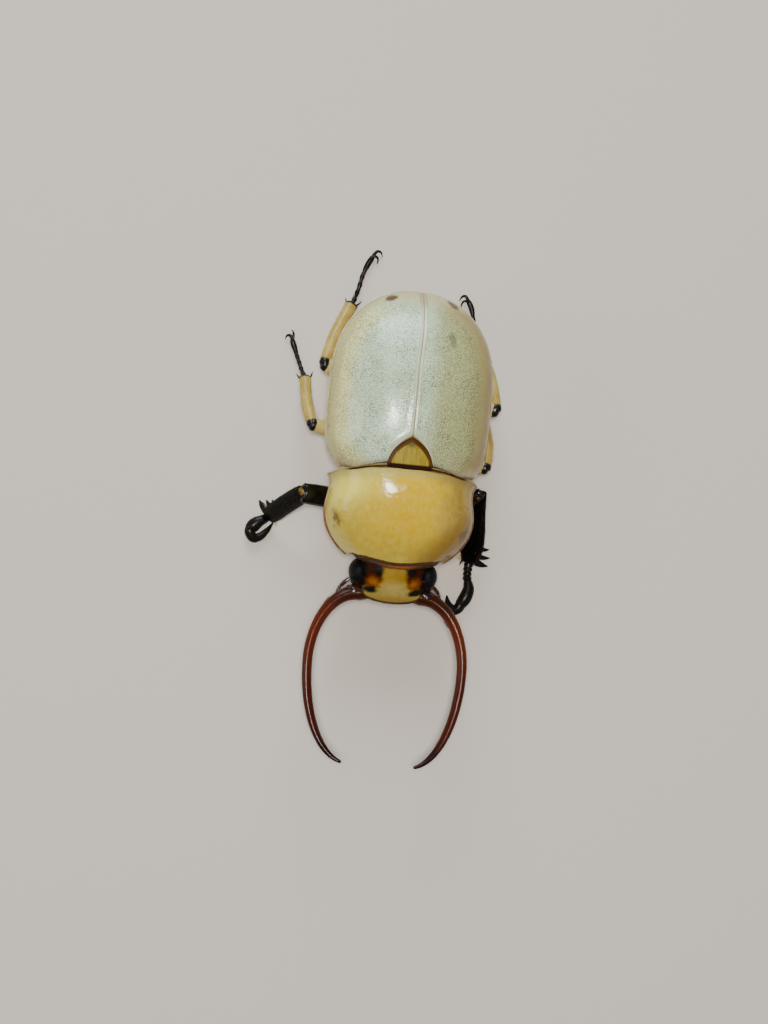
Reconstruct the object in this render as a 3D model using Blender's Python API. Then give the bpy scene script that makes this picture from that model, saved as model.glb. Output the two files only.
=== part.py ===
# A stag-jawed shining leaf chafer, life size, standing with its jaws forward along -Y.
# It is drawn in millimetres in its own frame, with the mid-plane at x = 0, the wing cases from y = 0 to the
# rear and the floor at z = 0. It is then scaled to metres and hung on one empty, which puts the middle of its
# footprint on the origin.
import math

import bmesh
import bpy
import numpy as np
from mathutils import Matrix, Vector

MM = 0.001
GAP = 0.28  # space between neighbouring nodes
SUTURE_GAP = 0.22  # space between the two wing cases
CUTTER_SIZE = 60.0  # of the blocks that cut a piece flat
RIGHT, LEFT = -1, 1  # the beetle faces -Y, so its right side is at -X
SIDE_NAMES = {RIGHT: "right", LEFT: "left"}

# wing cases, along Y from their base to their apex
ELYTRA_LENGTH = 15.0
ELYTRA_HALF_WIDTH = 6.8
ELYTRA_SHOULDER_TAPER = 0.07
ELYTRA_TAIL_START = 7.0
ELYTRA_TAIL_ROUND = 2.2
ELYTRA_MARGIN_Z = 5.5
ELYTRA_MARGIN_FALL = 0.3
ELYTRA_TAIL_FALL = 0.9
ELYTRA_RISE = 4.65
ELYTRA_BASE_RISE = 4.1
ELYTRA_TOP_Y = 4.8
ELYTRA_TOP_ROUND = 2.05
ELYTRA_SECTION_ROUND = 2.35
ELYTRA_THICKNESS = 0.55
ELYTRA_BASE_BOW = 0.65  # how far the base reaches back beside the scutellum
ELYTRA_BASE_SHIFT = 0.15
ELYTRA_BOW_REACH = 4.6

# scutellum, the shield between the wing case bases
SCUTELLUM_FRONT_Y = 0.35
SCUTELLUM_TIP_Y = 2.75
SCUTELLUM_HALF_WIDTH = 1.8
SCUTELLUM_TOP_Z = 9.75
SCUTELLUM_THICKNESS = 0.75

# pronotum
PRONOTUM_HIND_Y = -0.9
PRONOTUM_FRONT_Y = -7.35
PRONOTUM_WIDEST_Y = -3.7
PRONOTUM_HALF_WIDTH = 6.2
PRONOTUM_FRONT_REACH = 4.89
PRONOTUM_WAIST_Y = -1.6
PRONOTUM_WAIST = 0.27
PRONOTUM_HIND_FLARE = 0.32
PRONOTUM_HIND_BOW = 1.2
PRONOTUM_FRONT_BOW = -0.8
PRONOTUM_MARGIN_Z = 5.45
PRONOTUM_TOP_Z = 9.75
PRONOTUM_TOP_Y = -1.5
PRONOTUM_TOP_FALL = 0.050
PRONOTUM_SECTION_ROUND = 2.3
PRONOTUM_THICKNESS = 0.55

# body under the pronotum and the wing cases
CHEST_FRONT_Y = -6.7
CHEST_HIND_Y = 0.35
CHEST_BOTTOM_Z = 2.0
HIND_BODY_FRONT_Y = 0.75
HIND_BODY_END_Y = 14.25
BELLY_Z = 1.7
BELLY_FLAT_END_Y = 6.0  # the belly curves up behind this
BELLY_TAIL_RISE = 2.9
BELLY_ROUND = 1.8
WAIST_CUT_Y = 6.9
VENTRITES = 5
VENTRITE_STEP = 0.16
PYGIDIUM_CUT_Y = 12.75
PYGIDIUM_LEAN = math.radians(38)

# head
HEAD_BACK_Y = -7.0
HEAD_FRONT_Y = -11.1
HEAD_HALF_WIDTH = 3.0
CLYPEUS_HALF_WIDTH = 2.6
CLYPEUS_Y = -9.9
HEAD_TOP_Z = 6.75
CLYPEUS_TOP_Z = 5.95
HEAD_BOTTOM_Z = 3.15
EYE_CENTRE = (2.95, -8.65, 5.2)
EYE_RADII = (0.82, 1.08, 1.12)

# mandibles: each is half an egg-shaped curve seen from above, climbing towards the tip
JAW_AXIS_X = 2.6
JAW_BOW = 3.88
JAW_WIDEST_Y = -16.4
JAW_BASE_REACH = 5.9
JAW_TIP_REACH = 8.1
JAW_BASE_Z = 4.75
JAW_RISE = 2.2
JAW_BASE_RADIUS = 0.56
JAW_MID_RADIUS = 0.40
JAW_TIP_RADIUS = 0.20
JAW_TIP_ANGLE = math.radians(-87)

# antennae, mouthparts: points for the left side, from the root outwards
ANTENNA_SHAFT = ((2.75, -9.5, 4.3), (3.5, -9.75, 4.2), (4.2, -10.3, 3.85), (4.4, -11.0, 3.45))
ANTENNA_RADII = (0.28, 0.33, 0.30, 0.25, 0.29, 0.25, 0.29)
CLUB_PATH = ((4.38, -10.85, 3.5), (4.85, -11.8, 3.2), (5.35, -12.8, 3.1))
CLUB_HALF_WIDTHS = (0.26, 0.46, 0.55, 0.58, 0.54, 0.46, 0.28)
CLUB_HALF_DEPTHS = (0.24, 0.34, 0.38, 0.40, 0.37, 0.32, 0.22)
MAXILLA_STEM = ((1.7, -8.8, 3.0), (1.85, -9.5, 2.75), (1.8, -10.1, 2.85))
MAXILLA_HALF_WIDTHS = (0.45, 0.5, 0.42, 0.34)
MAXILLA_HALF_DEPTHS = (0.36, 0.4, 0.36, 0.3)
PALP_PATH = ((2.0, -9.7, 2.8), (2.7, -10.0, 2.55), (3.35, -10.3, 2.55), (3.7, -10.85, 2.7))
PALP_RADII = (0.25, 0.28, 0.26, 0.31, 0.32, 0.26)
LABIUM_ROWS = (  # y, half width, bottom
    (-7.9, 0.9, 2.75),
    (-8.6, 1.15, 2.45),
    (-9.5, 1.1, 2.4),
    (-10.2, 0.85, 2.6),
    (-10.6, 0.55, 2.9),
)
LABIUM_HALF_HEIGHT = 0.3
LABRUM_ROWS = ((-10.0, 1.7), (-10.65, 1.75), (-10.95, 1.3))  # y, half width
LABRUM_Z = 4.12
LABRUM_HALF_HEIGHT = 0.26
LABRUM_BOW = 0.35

COLOURS = {
    "wing_case": ((0.66, 0.70, 0.58), 0.30),
    "pronotum_yellow": ((0.70, 0.58, 0.20), 0.22),
    "head_yellow": ((0.72, 0.62, 0.28), 0.30),
    "black": ((0.012, 0.010, 0.009), 0.25),
    "eye_black": ((0.010, 0.011, 0.013), 0.45),
    "jaw_red": ((0.16, 0.022, 0.010), 0.18),
    "leg_pale": ((0.60, 0.50, 0.24), 0.40),
    "belly_pale": ((0.50, 0.40, 0.18), 0.45),
}


nodes = {}  # every finished node by name, in the order they are made


def clear_scene():
    for old in list(bpy.data.objects):
        bpy.data.objects.remove(old, do_unlink=True)


def object_from(bm, name):
    bmesh.ops.recalc_face_normals(bm, faces=bm.faces)
    mesh = bpy.data.meshes.new(name)
    bm.to_mesh(mesh)
    bm.free()
    made = bpy.data.objects.new(name, mesh)
    bpy.context.scene.collection.objects.link(made)
    return made


def loft(name, rings, start_pole=None, end_pole=None):
    # A closed skin through rings of equal length; each end is closed by a fan to its pole or to its middle.
    bm = bmesh.new()
    rows = [[bm.verts.new(point) for point in ring] for ring in rings]
    count = len(rows[0])
    for near, far in zip(rows, rows[1:]):
        for k in range(count):
            after = (k + 1) % count
            bm.faces.new((near[k], near[after], far[after], far[k]))
    for row, pole in ((rows[0], start_pole), (rows[-1], end_pole)):
        middle = sum((v.co for v in row), Vector()) / count if pole is None else Vector(pole)
        tip = bm.verts.new(middle)
        for k in range(count):
            bm.faces.new((row[k], row[(k + 1) % count], tip))
    return object_from(bm, name)


def smooth_path(points, steps):
    # A Catmull-Rom curve through the points, with steps spans between each pair.
    ends = [2 * Vector(points[0]) - Vector(points[1])]
    tail = [2 * Vector(points[-1]) - Vector(points[-2])]
    knots = ends + [Vector(p) for p in points] + tail
    path = []
    for a, b, c, d in zip(knots, knots[1:], knots[2:], knots[3:]):
        for k in range(steps):
            t = k / steps
            bend, twist = 2 * a - 5 * b + 4 * c - d, 3 * b - a - 3 * c + d
            path.append(0.5 * (2 * b + (c - a) * t + bend * t**2 + twist * t**3))
    path.append(knots[-2])
    return path


def along(values, share):
    # The value at a share from 0 to 1 of an evenly spaced list.
    at = share * (len(values) - 1)
    low = min(int(at), len(values) - 2)
    return values[low] + (values[low + 1] - values[low]) * (at - low)


def tube(name, path, half_widths, half_depths, side_axis, sides=10, blunt=0.6):
    # A swept limb with oval rings. half_widths run along side_axis, both lists are spread evenly over the
    # path, and both ends are rounded off by blunt times the end's own size.
    last = len(path) - 1
    frames = []
    for i, point in enumerate(path):
        tangent = (path[min(i + 1, last)] - path[max(i - 1, 0)]).normalized()
        side = Vector(side_axis)
        side = (side - side.dot(tangent) * tangent).normalized()
        share = i / last
        frames.append((point, tangent, side, along(half_widths, share), along(half_depths, share)))
    rings = []

    def ring(frame, shift, scale):
        point, tangent, side, wide, deep = frame
        lift = tangent.cross(side)
        centre = point + tangent * shift
        turn = [2 * math.pi * k / sides for k in range(sides)]
        return [centre + scale * (wide * math.cos(a) * side + deep * math.sin(a) * lift) for a in turn]

    first, final = frames[0], frames[-1]
    start_size, end_size = min(first[3:]), min(final[3:])
    rings.append(ring(first, -0.7 * blunt * start_size, 0.72))
    rings += [ring(frame, 0, 1) for frame in frames]
    rings.append(ring(final, 0.7 * blunt * end_size, 0.72))
    start_pole = first[0] - first[1] * blunt * start_size
    end_pole = final[0] + final[1] * blunt * end_size
    return loft(name, rings, start_pole, end_pole)


def cone(root, tip, half_width, bend=(0, 0, 0), sides=6):
    # A spine from root to tip, bowed sideways by bend at its middle.
    root, tip, bend = Vector(root), Vector(tip), Vector(bend)
    run = (tip - root).normalized()
    side = run.orthogonal().normalized()
    lift = run.cross(side)
    rings = []
    for share, scale in ((0.0, 1.0), (0.5, 0.72), (0.85, 0.30)):
        centre = root.lerp(tip, share) + bend * 4 * share * (1 - share)
        turn = [2 * math.pi * k / sides for k in range(sides)]
        rings.append([centre + half_width * scale * (math.cos(a) * side + math.sin(a) * lift) for a in turn])
    return loft("spine", rings, None, tip)


def ball(name, centre, radii, segments=12, rows=8):
    bm = bmesh.new()
    bmesh.ops.create_uvsphere(bm, u_segments=segments, v_segments=rows, radius=1.0)
    bmesh.ops.scale(bm, vec=radii, verts=bm.verts)
    bmesh.ops.translate(bm, vec=centre, verts=bm.verts)
    return object_from(bm, name)


def settle(obj):
    # Applies the object's modifiers to its mesh.
    graph = bpy.context.evaluated_depsgraph_get()
    graph.update()
    mesh = bpy.data.meshes.new_from_object(obj.evaluated_get(graph))
    obj.modifiers.clear()
    obj.data = mesh


def keep_largest(obj):
    # Drops every loose shell but the one with the largest box.
    bm = bmesh.new()
    bm.from_mesh(obj.data)
    waiting = set(bm.verts)
    shells = []
    while waiting:
        shell = {waiting.pop()}
        edge = list(shell)
        while edge:
            for e in edge.pop().link_edges:
                for v in e.verts:
                    if v not in shell:
                        shell.add(v)
                        edge.append(v)
        waiting -= shell
        shells.append(shell)

    def span(shell):
        at = np.array([v.co for v in shell])
        return float(np.prod(at.max(0) - at.min(0) + 1e-6))

    shells.sort(key=span)
    for shell in shells[:-1]:
        bmesh.ops.delete(bm, geom=list(shell), context="VERTS")
    bm.to_mesh(obj.data)
    bm.free()


def boolean(obj, operation, others, solver="EXACT"):
    holder = bpy.data.collections.new("pieces")
    bpy.context.scene.collection.children.link(holder)
    for other in others:
        holder.objects.link(other)
    step = obj.modifiers.new(operation.lower(), "BOOLEAN")
    step.operation = operation
    step.operand_type = "COLLECTION"
    step.collection = holder
    step.solver = solver
    settle(obj)
    for other in others:
        bpy.data.objects.remove(other, do_unlink=True)
    bpy.data.collections.remove(holder)
    keep_largest(obj)


def fuse(obj, pieces):
    boolean(obj, "UNION", pieces)


def grown(obj, gap):
    # A copy of obj whose skin stands gap further out.
    bm = bmesh.new()
    bm.from_mesh(obj.data)
    bm.normal_update()
    shifts = [v.normal * gap * min(v.calc_shell_factor(), 1.6) for v in bm.verts]
    for v, shift in zip(bm.verts, shifts):
        v.co += shift
    return object_from(bm, obj.name + "_room")


def carve(obj, neighbours, gap=GAP, solver="EXACT"):
    boolean(obj, "DIFFERENCE", [grown(other, gap) for other in neighbours], solver)


def cut_flat(obj, point, normal):
    # Removes what lies on the side of the plane that its normal points to.
    normal = Vector(normal).normalized()
    turn = normal.to_track_quat("Z", "Y").to_matrix().to_4x4()
    bm = bmesh.new()
    bmesh.ops.create_cube(bm, size=CUTTER_SIZE)
    bmesh.ops.transform(bm, matrix=turn, verts=bm.verts)
    bmesh.ops.translate(bm, vec=Vector(point) + normal * CUTTER_SIZE / 2, verts=bm.verts)
    boolean(obj, "DIFFERENCE", [object_from(bm, "block")])


def twin(obj, name):
    made = bpy.data.objects.new(name, obj.data.copy())
    bpy.context.scene.collection.objects.link(made)
    return made


def node(obj, name, colour):
    obj.name = name
    obj.data.name = name
    obj.data.materials.clear()
    obj.data.materials.append(finish(colour))
    nodes[name] = obj
    return obj


def finish(colour):
    made = bpy.data.materials.get(colour)
    if made is None:
        made = bpy.data.materials.new(colour)
        made.use_nodes = True
        shader = made.node_tree.nodes["Principled BSDF"]
        rgb, roughness = COLOURS[colour]
        shader.inputs["Base Color"].default_value = (*rgb, 1)
        shader.inputs["Roughness"].default_value = roughness
        shader.inputs["Metallic"].default_value = 0.0
    return made


def power(value, exponent):
    return math.copysign(abs(value) ** exponent, value)


# wing cases


def elytra_half_width(y):
    if y <= ELYTRA_TAIL_START:
        return ELYTRA_HALF_WIDTH * (1 - ELYTRA_SHOULDER_TAPER * (1 - max(y, 0) / ELYTRA_TAIL_START) ** 4)
    share = min((y - ELYTRA_TAIL_START) / (ELYTRA_LENGTH - ELYTRA_TAIL_START), 1)
    return ELYTRA_HALF_WIDTH * (1 - share**ELYTRA_TAIL_ROUND) ** (1 / ELYTRA_TAIL_ROUND)


def elytra_margin(y):
    share = max(y, 0) / ELYTRA_LENGTH
    return ELYTRA_MARGIN_Z - ELYTRA_MARGIN_FALL * share - ELYTRA_TAIL_FALL * max(share - 0.5, 0) ** 2 / 0.25


def elytra_rise(y):
    if y <= ELYTRA_TOP_Y:
        return ELYTRA_RISE - (ELYTRA_RISE - ELYTRA_BASE_RISE) * (1 - max(y, 0) / ELYTRA_TOP_Y) ** 2
    share = min((y - ELYTRA_TOP_Y) / (ELYTRA_LENGTH - ELYTRA_TOP_Y), 1)
    return ELYTRA_RISE * (1 - share**ELYTRA_TOP_ROUND) ** (1 / ELYTRA_TOP_ROUND)


def elytron(side, stations=14, columns=9):
    bm = bmesh.new()
    rows = []
    tuck = ((0.0, 0.26), (0.14, 0.06), (0.5, 0.0))  # y, and how far the rolled base edge lies inside
    for i in range(stations):
        if i < len(tuck):
            y, inset = tuck[i]
        else:
            turn = 0.5 * math.pi * (i - len(tuck) + 1) / (stations - len(tuck))
            y, inset = tuck[-1][0] + (ELYTRA_LENGTH - tuck[-1][0]) * math.sin(turn) ** 1.15, 0
        wide, rise = elytra_half_width(y) - inset, elytra_rise(y) - inset
        row = []
        for j in range(columns):
            turn = 0.5 * math.pi * j / (columns - 1)
            across = power(math.cos(turn), 2 / ELYTRA_SECTION_ROUND) if j < columns - 1 else 0
            x = SUTURE_GAP / 2 + max(wide - SUTURE_GAP / 2, 0) * across
            bow = ELYTRA_BASE_BOW * (1 - min(x / ELYTRA_BOW_REACH, 1) ** 2) - ELYTRA_BASE_SHIFT
            z = elytra_margin(y) + rise * power(math.sin(turn), 2 / ELYTRA_SECTION_ROUND)
            row.append(bm.verts.new((side * x, y + bow * (1 - y / ELYTRA_LENGTH) ** 3, z)))
        rows.append(row)
    for near, far in zip(rows, rows[1:]):
        for a, b, c, d in zip(near, near[1:], far[1:], far):
            bm.faces.new((a, b, c, d))
    bmesh.ops.remove_doubles(bm, verts=bm.verts, dist=0.02)
    bmesh.ops.recalc_face_normals(bm, faces=bm.faces)
    upward = sum(f.normal.z * f.calc_area() for f in bm.faces)
    if upward < 0:
        bmesh.ops.reverse_faces(bm, faces=bm.faces)
    mesh = bpy.data.meshes.new("elytron")
    bm.to_mesh(mesh)
    bm.free()
    made = bpy.data.objects.new("elytron", mesh)
    bpy.context.scene.collection.objects.link(made)
    shell = made.modifiers.new("shell", "SOLIDIFY")
    shell.thickness = ELYTRA_THICKNESS
    shell.offset = -1
    shell.use_even_offset = True
    settle(made)
    return made


def scutellum():
    rings = []
    rows = 7
    for i in range(rows):
        share = i / rows
        y = SCUTELLUM_FRONT_Y + (SCUTELLUM_TIP_Y - SCUTELLUM_FRONT_Y) * share
        wide = SCUTELLUM_HALF_WIDTH * (1 - share**1.7) ** 0.75
        rise = 0.16 * (1 - share)
        top = [(-wide, -0.10), (-0.55 * wide, rise * 0.7), (0, rise), (0.55 * wide, rise * 0.7), (wide, -0.10)]
        under = [(wide, -SCUTELLUM_THICKNESS), (0, -SCUTELLUM_THICKNESS), (-wide, -SCUTELLUM_THICKNESS)]
        rings.append([Vector((x, y, SCUTELLUM_TOP_Z + 0.1 * share + dz)) for x, dz in top + under])
    tip = (0, SCUTELLUM_TIP_Y, SCUTELLUM_TOP_Z - 0.2)
    return loft("scutellum", rings, None, tip)


# pronotum


def pronotum_half_width(y):
    if y <= PRONOTUM_WIDEST_Y:
        share = (PRONOTUM_WIDEST_Y - y) / PRONOTUM_FRONT_REACH
        return PRONOTUM_HALF_WIDTH * math.sqrt(1 - share**2)
    share = min((y - PRONOTUM_WIDEST_Y) / (PRONOTUM_WAIST_Y - PRONOTUM_WIDEST_Y), 1)
    waist = PRONOTUM_WAIST * share * share * (3 - 2 * share)
    flare = PRONOTUM_HIND_FLARE * max((y - PRONOTUM_WAIST_Y) / (PRONOTUM_HIND_Y - PRONOTUM_WAIST_Y), 0) ** 2
    return PRONOTUM_HALF_WIDTH - waist + flare


def pronotum_top(y):
    return PRONOTUM_TOP_Z - PRONOTUM_TOP_FALL * (y - PRONOTUM_TOP_Y) ** 2


def pronotum(stations=10, columns=17):
    bm = bmesh.new()
    rows = []
    for i in range(stations):
        share = i / (stations - 1)
        y = PRONOTUM_HIND_Y + (PRONOTUM_FRONT_Y - PRONOTUM_HIND_Y) * share
        bow = PRONOTUM_HIND_BOW + (PRONOTUM_FRONT_BOW - PRONOTUM_HIND_BOW) * share
        wide = pronotum_half_width(y)
        row = []
        for j in range(columns):
            turn = math.pi * j / (columns - 1)
            across = power(math.cos(turn), 2 / PRONOTUM_SECTION_ROUND)
            here = y + bow * (1 - abs(across) ** (2 if bow > 0 else 1.7))
            rise = pronotum_top(here) - PRONOTUM_MARGIN_Z
            z = PRONOTUM_MARGIN_Z + rise * abs(math.sin(turn)) ** (2 / PRONOTUM_SECTION_ROUND)
            row.append(bm.verts.new((wide * across, here, z)))
        rows.append(row)
    for near, far in zip(rows, rows[1:]):
        for a, b, c, d in zip(near, near[1:], far[1:], far):
            bm.faces.new((a, b, c, d))
    bmesh.ops.recalc_face_normals(bm, faces=bm.faces)
    if sum(f.normal.z * f.calc_area() for f in bm.faces) < 0:
        bmesh.ops.reverse_faces(bm, faces=bm.faces)
    mesh = bpy.data.meshes.new("pronotum")
    bm.to_mesh(mesh)
    bm.free()
    made = bpy.data.objects.new("pronotum", mesh)
    bpy.context.scene.collection.objects.link(made)
    shell = made.modifiers.new("shell", "SOLIDIFY")
    shell.thickness = PRONOTUM_THICKNESS
    shell.offset = -1
    shell.use_even_offset = True
    settle(made)
    return made


# body under the shells


def body_ring(y, half_width, margin_z, rise, drop, top_round, under_round, sides=24):
    # A rounded section across the body, rise above margin_z and drop below it.
    points = []
    for k in range(sides):
        turn = 2 * math.pi * k / sides
        bend = 2 / (top_round if math.sin(turn) >= 0 else under_round)
        height = rise if math.sin(turn) >= 0 else drop
        x = half_width * power(math.cos(turn), bend)
        points.append(Vector((x, y, margin_z + height * power(math.sin(turn), bend))))
    return points


def chest():
    inset = PRONOTUM_THICKNESS + GAP
    rings = []
    rows = 7
    for i in range(rows):
        share = i / (rows - 1)
        y = CHEST_HIND_Y + (CHEST_FRONT_Y - CHEST_HIND_Y) * share
        wide = pronotum_half_width(min(y, PRONOTUM_WAIST_Y)) - inset - 0.25 * (share < 0.1) - 0.5 * share**3
        rise = pronotum_top(y) - inset - 0.35 * share**2 - PRONOTUM_MARGIN_Z - 0.5 * (1 - share) ** 6
        drop = (PRONOTUM_MARGIN_Z - CHEST_BOTTOM_Z) * (1 - 0.30 * share**4 - 0.25 * (1 - share) ** 4)
        margin = PRONOTUM_MARGIN_Z - 0.1
        rings.append(body_ring(y, wide, margin, rise, drop, PRONOTUM_SECTION_ROUND, BELLY_ROUND))
    return loft("chest", rings)


def belly_bottom(y):
    # Flat along the breast, then curving up to the tail.
    share = max((y - BELLY_FLAT_END_Y) / (HIND_BODY_END_Y - BELLY_FLAT_END_Y), 0)
    return BELLY_Z + BELLY_TAIL_RISE * share**2.6


def hind_body():
    inset = ELYTRA_THICKNESS + GAP
    rings = []
    stations = [(HIND_BODY_FRONT_Y, 0), (1.3, 0), (3.2, 0), (5.2, 0)]
    segment = (PYGIDIUM_CUT_Y - WAIST_CUT_Y) / VENTRITES
    for k in range(VENTRITES + 1):
        y = WAIST_CUT_Y + segment * k
        stations += [(y - 0.1, 0), (y + 0.1, VENTRITE_STEP)]
    stations += [(13.5, 0.1), (14.0, 0.1), (HIND_BODY_END_Y, 0.1)]
    shrink = ELYTRA_LENGTH / (HIND_BODY_END_Y + 0.12)
    for y, step in stations:
        front = max(1 - (y - HIND_BODY_FRONT_Y) / 1.2, 0) ** 2
        wide = elytra_half_width(y * shrink) - inset - 0.5 * front
        rise = elytra_rise(y * shrink) - inset - 0.4 * front
        wide, rise = max(wide, 0.35), max(rise, 0.2)
        margin = elytra_margin(y * shrink)
        drop = max(margin - belly_bottom(y) - step, 0.2) * (1 - 0.25 * front)
        rings.append(body_ring(y, wide - step * 0.5, margin, rise, drop, ELYTRA_SECTION_ROUND, BELLY_ROUND))
    return loft("hind_body", rings)


# head


def head():
    rings = []
    stations = (
        # y, half width, top, bottom
        (HEAD_BACK_Y, 0.86 * HEAD_HALF_WIDTH, HEAD_TOP_Z - 0.45, HEAD_BOTTOM_Z + 0.5),
        (HEAD_BACK_Y - 0.6, 0.97 * HEAD_HALF_WIDTH, HEAD_TOP_Z - 0.12, HEAD_BOTTOM_Z + 0.1),
        (HEAD_BACK_Y - 1.4, HEAD_HALF_WIDTH, HEAD_TOP_Z, HEAD_BOTTOM_Z),
        (CLYPEUS_Y + 0.7, 0.98 * HEAD_HALF_WIDTH, HEAD_TOP_Z - 0.22, HEAD_BOTTOM_Z + 0.1),
        (CLYPEUS_Y, 0.5 * (HEAD_HALF_WIDTH + CLYPEUS_HALF_WIDTH), HEAD_TOP_Z - 0.5, HEAD_BOTTOM_Z + 0.55),
        (CLYPEUS_Y - 0.45, CLYPEUS_HALF_WIDTH, CLYPEUS_TOP_Z + 0.05, HEAD_BOTTOM_Z + 1.35),
        (HEAD_FRONT_Y + 0.4, 0.97 * CLYPEUS_HALF_WIDTH, CLYPEUS_TOP_Z - 0.12, HEAD_BOTTOM_Z + 1.75),
        (HEAD_FRONT_Y + 0.1, 0.88 * CLYPEUS_HALF_WIDTH, CLYPEUS_TOP_Z - 0.28, HEAD_BOTTOM_Z + 1.9),
        (HEAD_FRONT_Y, 0.74 * CLYPEUS_HALF_WIDTH, CLYPEUS_TOP_Z - 0.45, HEAD_BOTTOM_Z + 2.05),
    )
    for y, wide, top, bottom in stations:
        middle = 0.5 * (top + bottom)
        ring = body_ring(y, wide, middle, top - middle, middle - bottom, 2.7, 2.6, sides=20)
        if y < CLYPEUS_Y - 0.5:  # the clypeus edge is an arc seen from above
            for point in ring:
                point.y += 0.5 * (point.x / CLYPEUS_HALF_WIDTH) ** 2
        rings.append(ring)
    return loft("head", rings)


def jaw_point(turn):
    x = JAW_AXIS_X + JAW_BOW * math.cos(turn)
    y = JAW_WIDEST_Y + (JAW_BASE_REACH if turn > 0 else JAW_TIP_REACH) * math.sin(turn)
    climb = (0.5 * math.pi - turn) / (0.5 * math.pi - JAW_TIP_ANGLE)
    return x, y, JAW_BASE_Z + JAW_RISE * climb**1.4


def mandible(side, steps=18):
    path = []
    for i in range(steps + 1):
        turn = 0.5 * math.pi + (JAW_TIP_ANGLE - 0.5 * math.pi) * i / steps
        x, y, z = jaw_point(turn)
        path.append(Vector((side * x, y, z)))
    root = Vector((side * (JAW_AXIS_X - 0.95), JAW_WIDEST_Y + JAW_BASE_REACH + 0.25, JAW_BASE_Z - 0.1))
    path.insert(0, root)
    widths = [1.15 * JAW_BASE_RADIUS, JAW_BASE_RADIUS, 0.5 * (JAW_BASE_RADIUS + JAW_MID_RADIUS)]
    widths += [JAW_MID_RADIUS, JAW_MID_RADIUS, 0.95 * JAW_MID_RADIUS, 0.8 * JAW_MID_RADIUS, JAW_TIP_RADIUS]
    depths = [1.1 * w for w in widths]
    return tube("mandible", path, depths, widths, (0, 0, 1), sides=9, blunt=1.6)


def mirrored(points, side):
    return [(side * x, y, z) for x, y, z in points]


def antenna(side):
    # The stalk bends round below the jaw, and the closed three-leaved club lies under it.
    stalk = smooth_path(mirrored(ANTENNA_SHAFT, side), 2)
    made = tube("antenna", stalk, ANTENNA_RADII, ANTENNA_RADII, (0, 0, 1), sides=7)
    club = smooth_path(mirrored(CLUB_PATH, side), 3)
    fuse(made, [tube("club", club, CLUB_HALF_WIDTHS, CLUB_HALF_DEPTHS, (0, 0, 1), sides=9)])
    return made


def maxilla(side):
    stem = smooth_path(mirrored(MAXILLA_STEM, side), 2)
    made = tube("maxilla", stem, MAXILLA_HALF_WIDTHS, MAXILLA_HALF_DEPTHS, (1, 0, 0), sides=7)
    palp = smooth_path(mirrored(PALP_PATH, side), 2)
    fuse(made, [tube("palp", palp, PALP_RADII, PALP_RADII, (0, 0, 1), sides=7)])
    return made


def labium():
    rings = []
    for y, wide, low in LABIUM_ROWS:
        rings.append(body_ring(y, wide, low + LABIUM_HALF_HEIGHT, 0.28, LABIUM_HALF_HEIGHT, 2.4, 2.4, sides=12))
    return loft("labium", rings)


def labrum():
    rings = []
    for y, wide in LABRUM_ROWS:
        ring = body_ring(y, wide, LABRUM_Z, LABRUM_HALF_HEIGHT, LABRUM_HALF_HEIGHT, 2.6, 2.6, sides=16)
        for point in ring:
            point.y += LABRUM_BOW * (point.x / LABRUM_ROWS[1][1]) ** 2
        rings.append(ring)
    return loft("labrum", rings)


# legs


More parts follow.
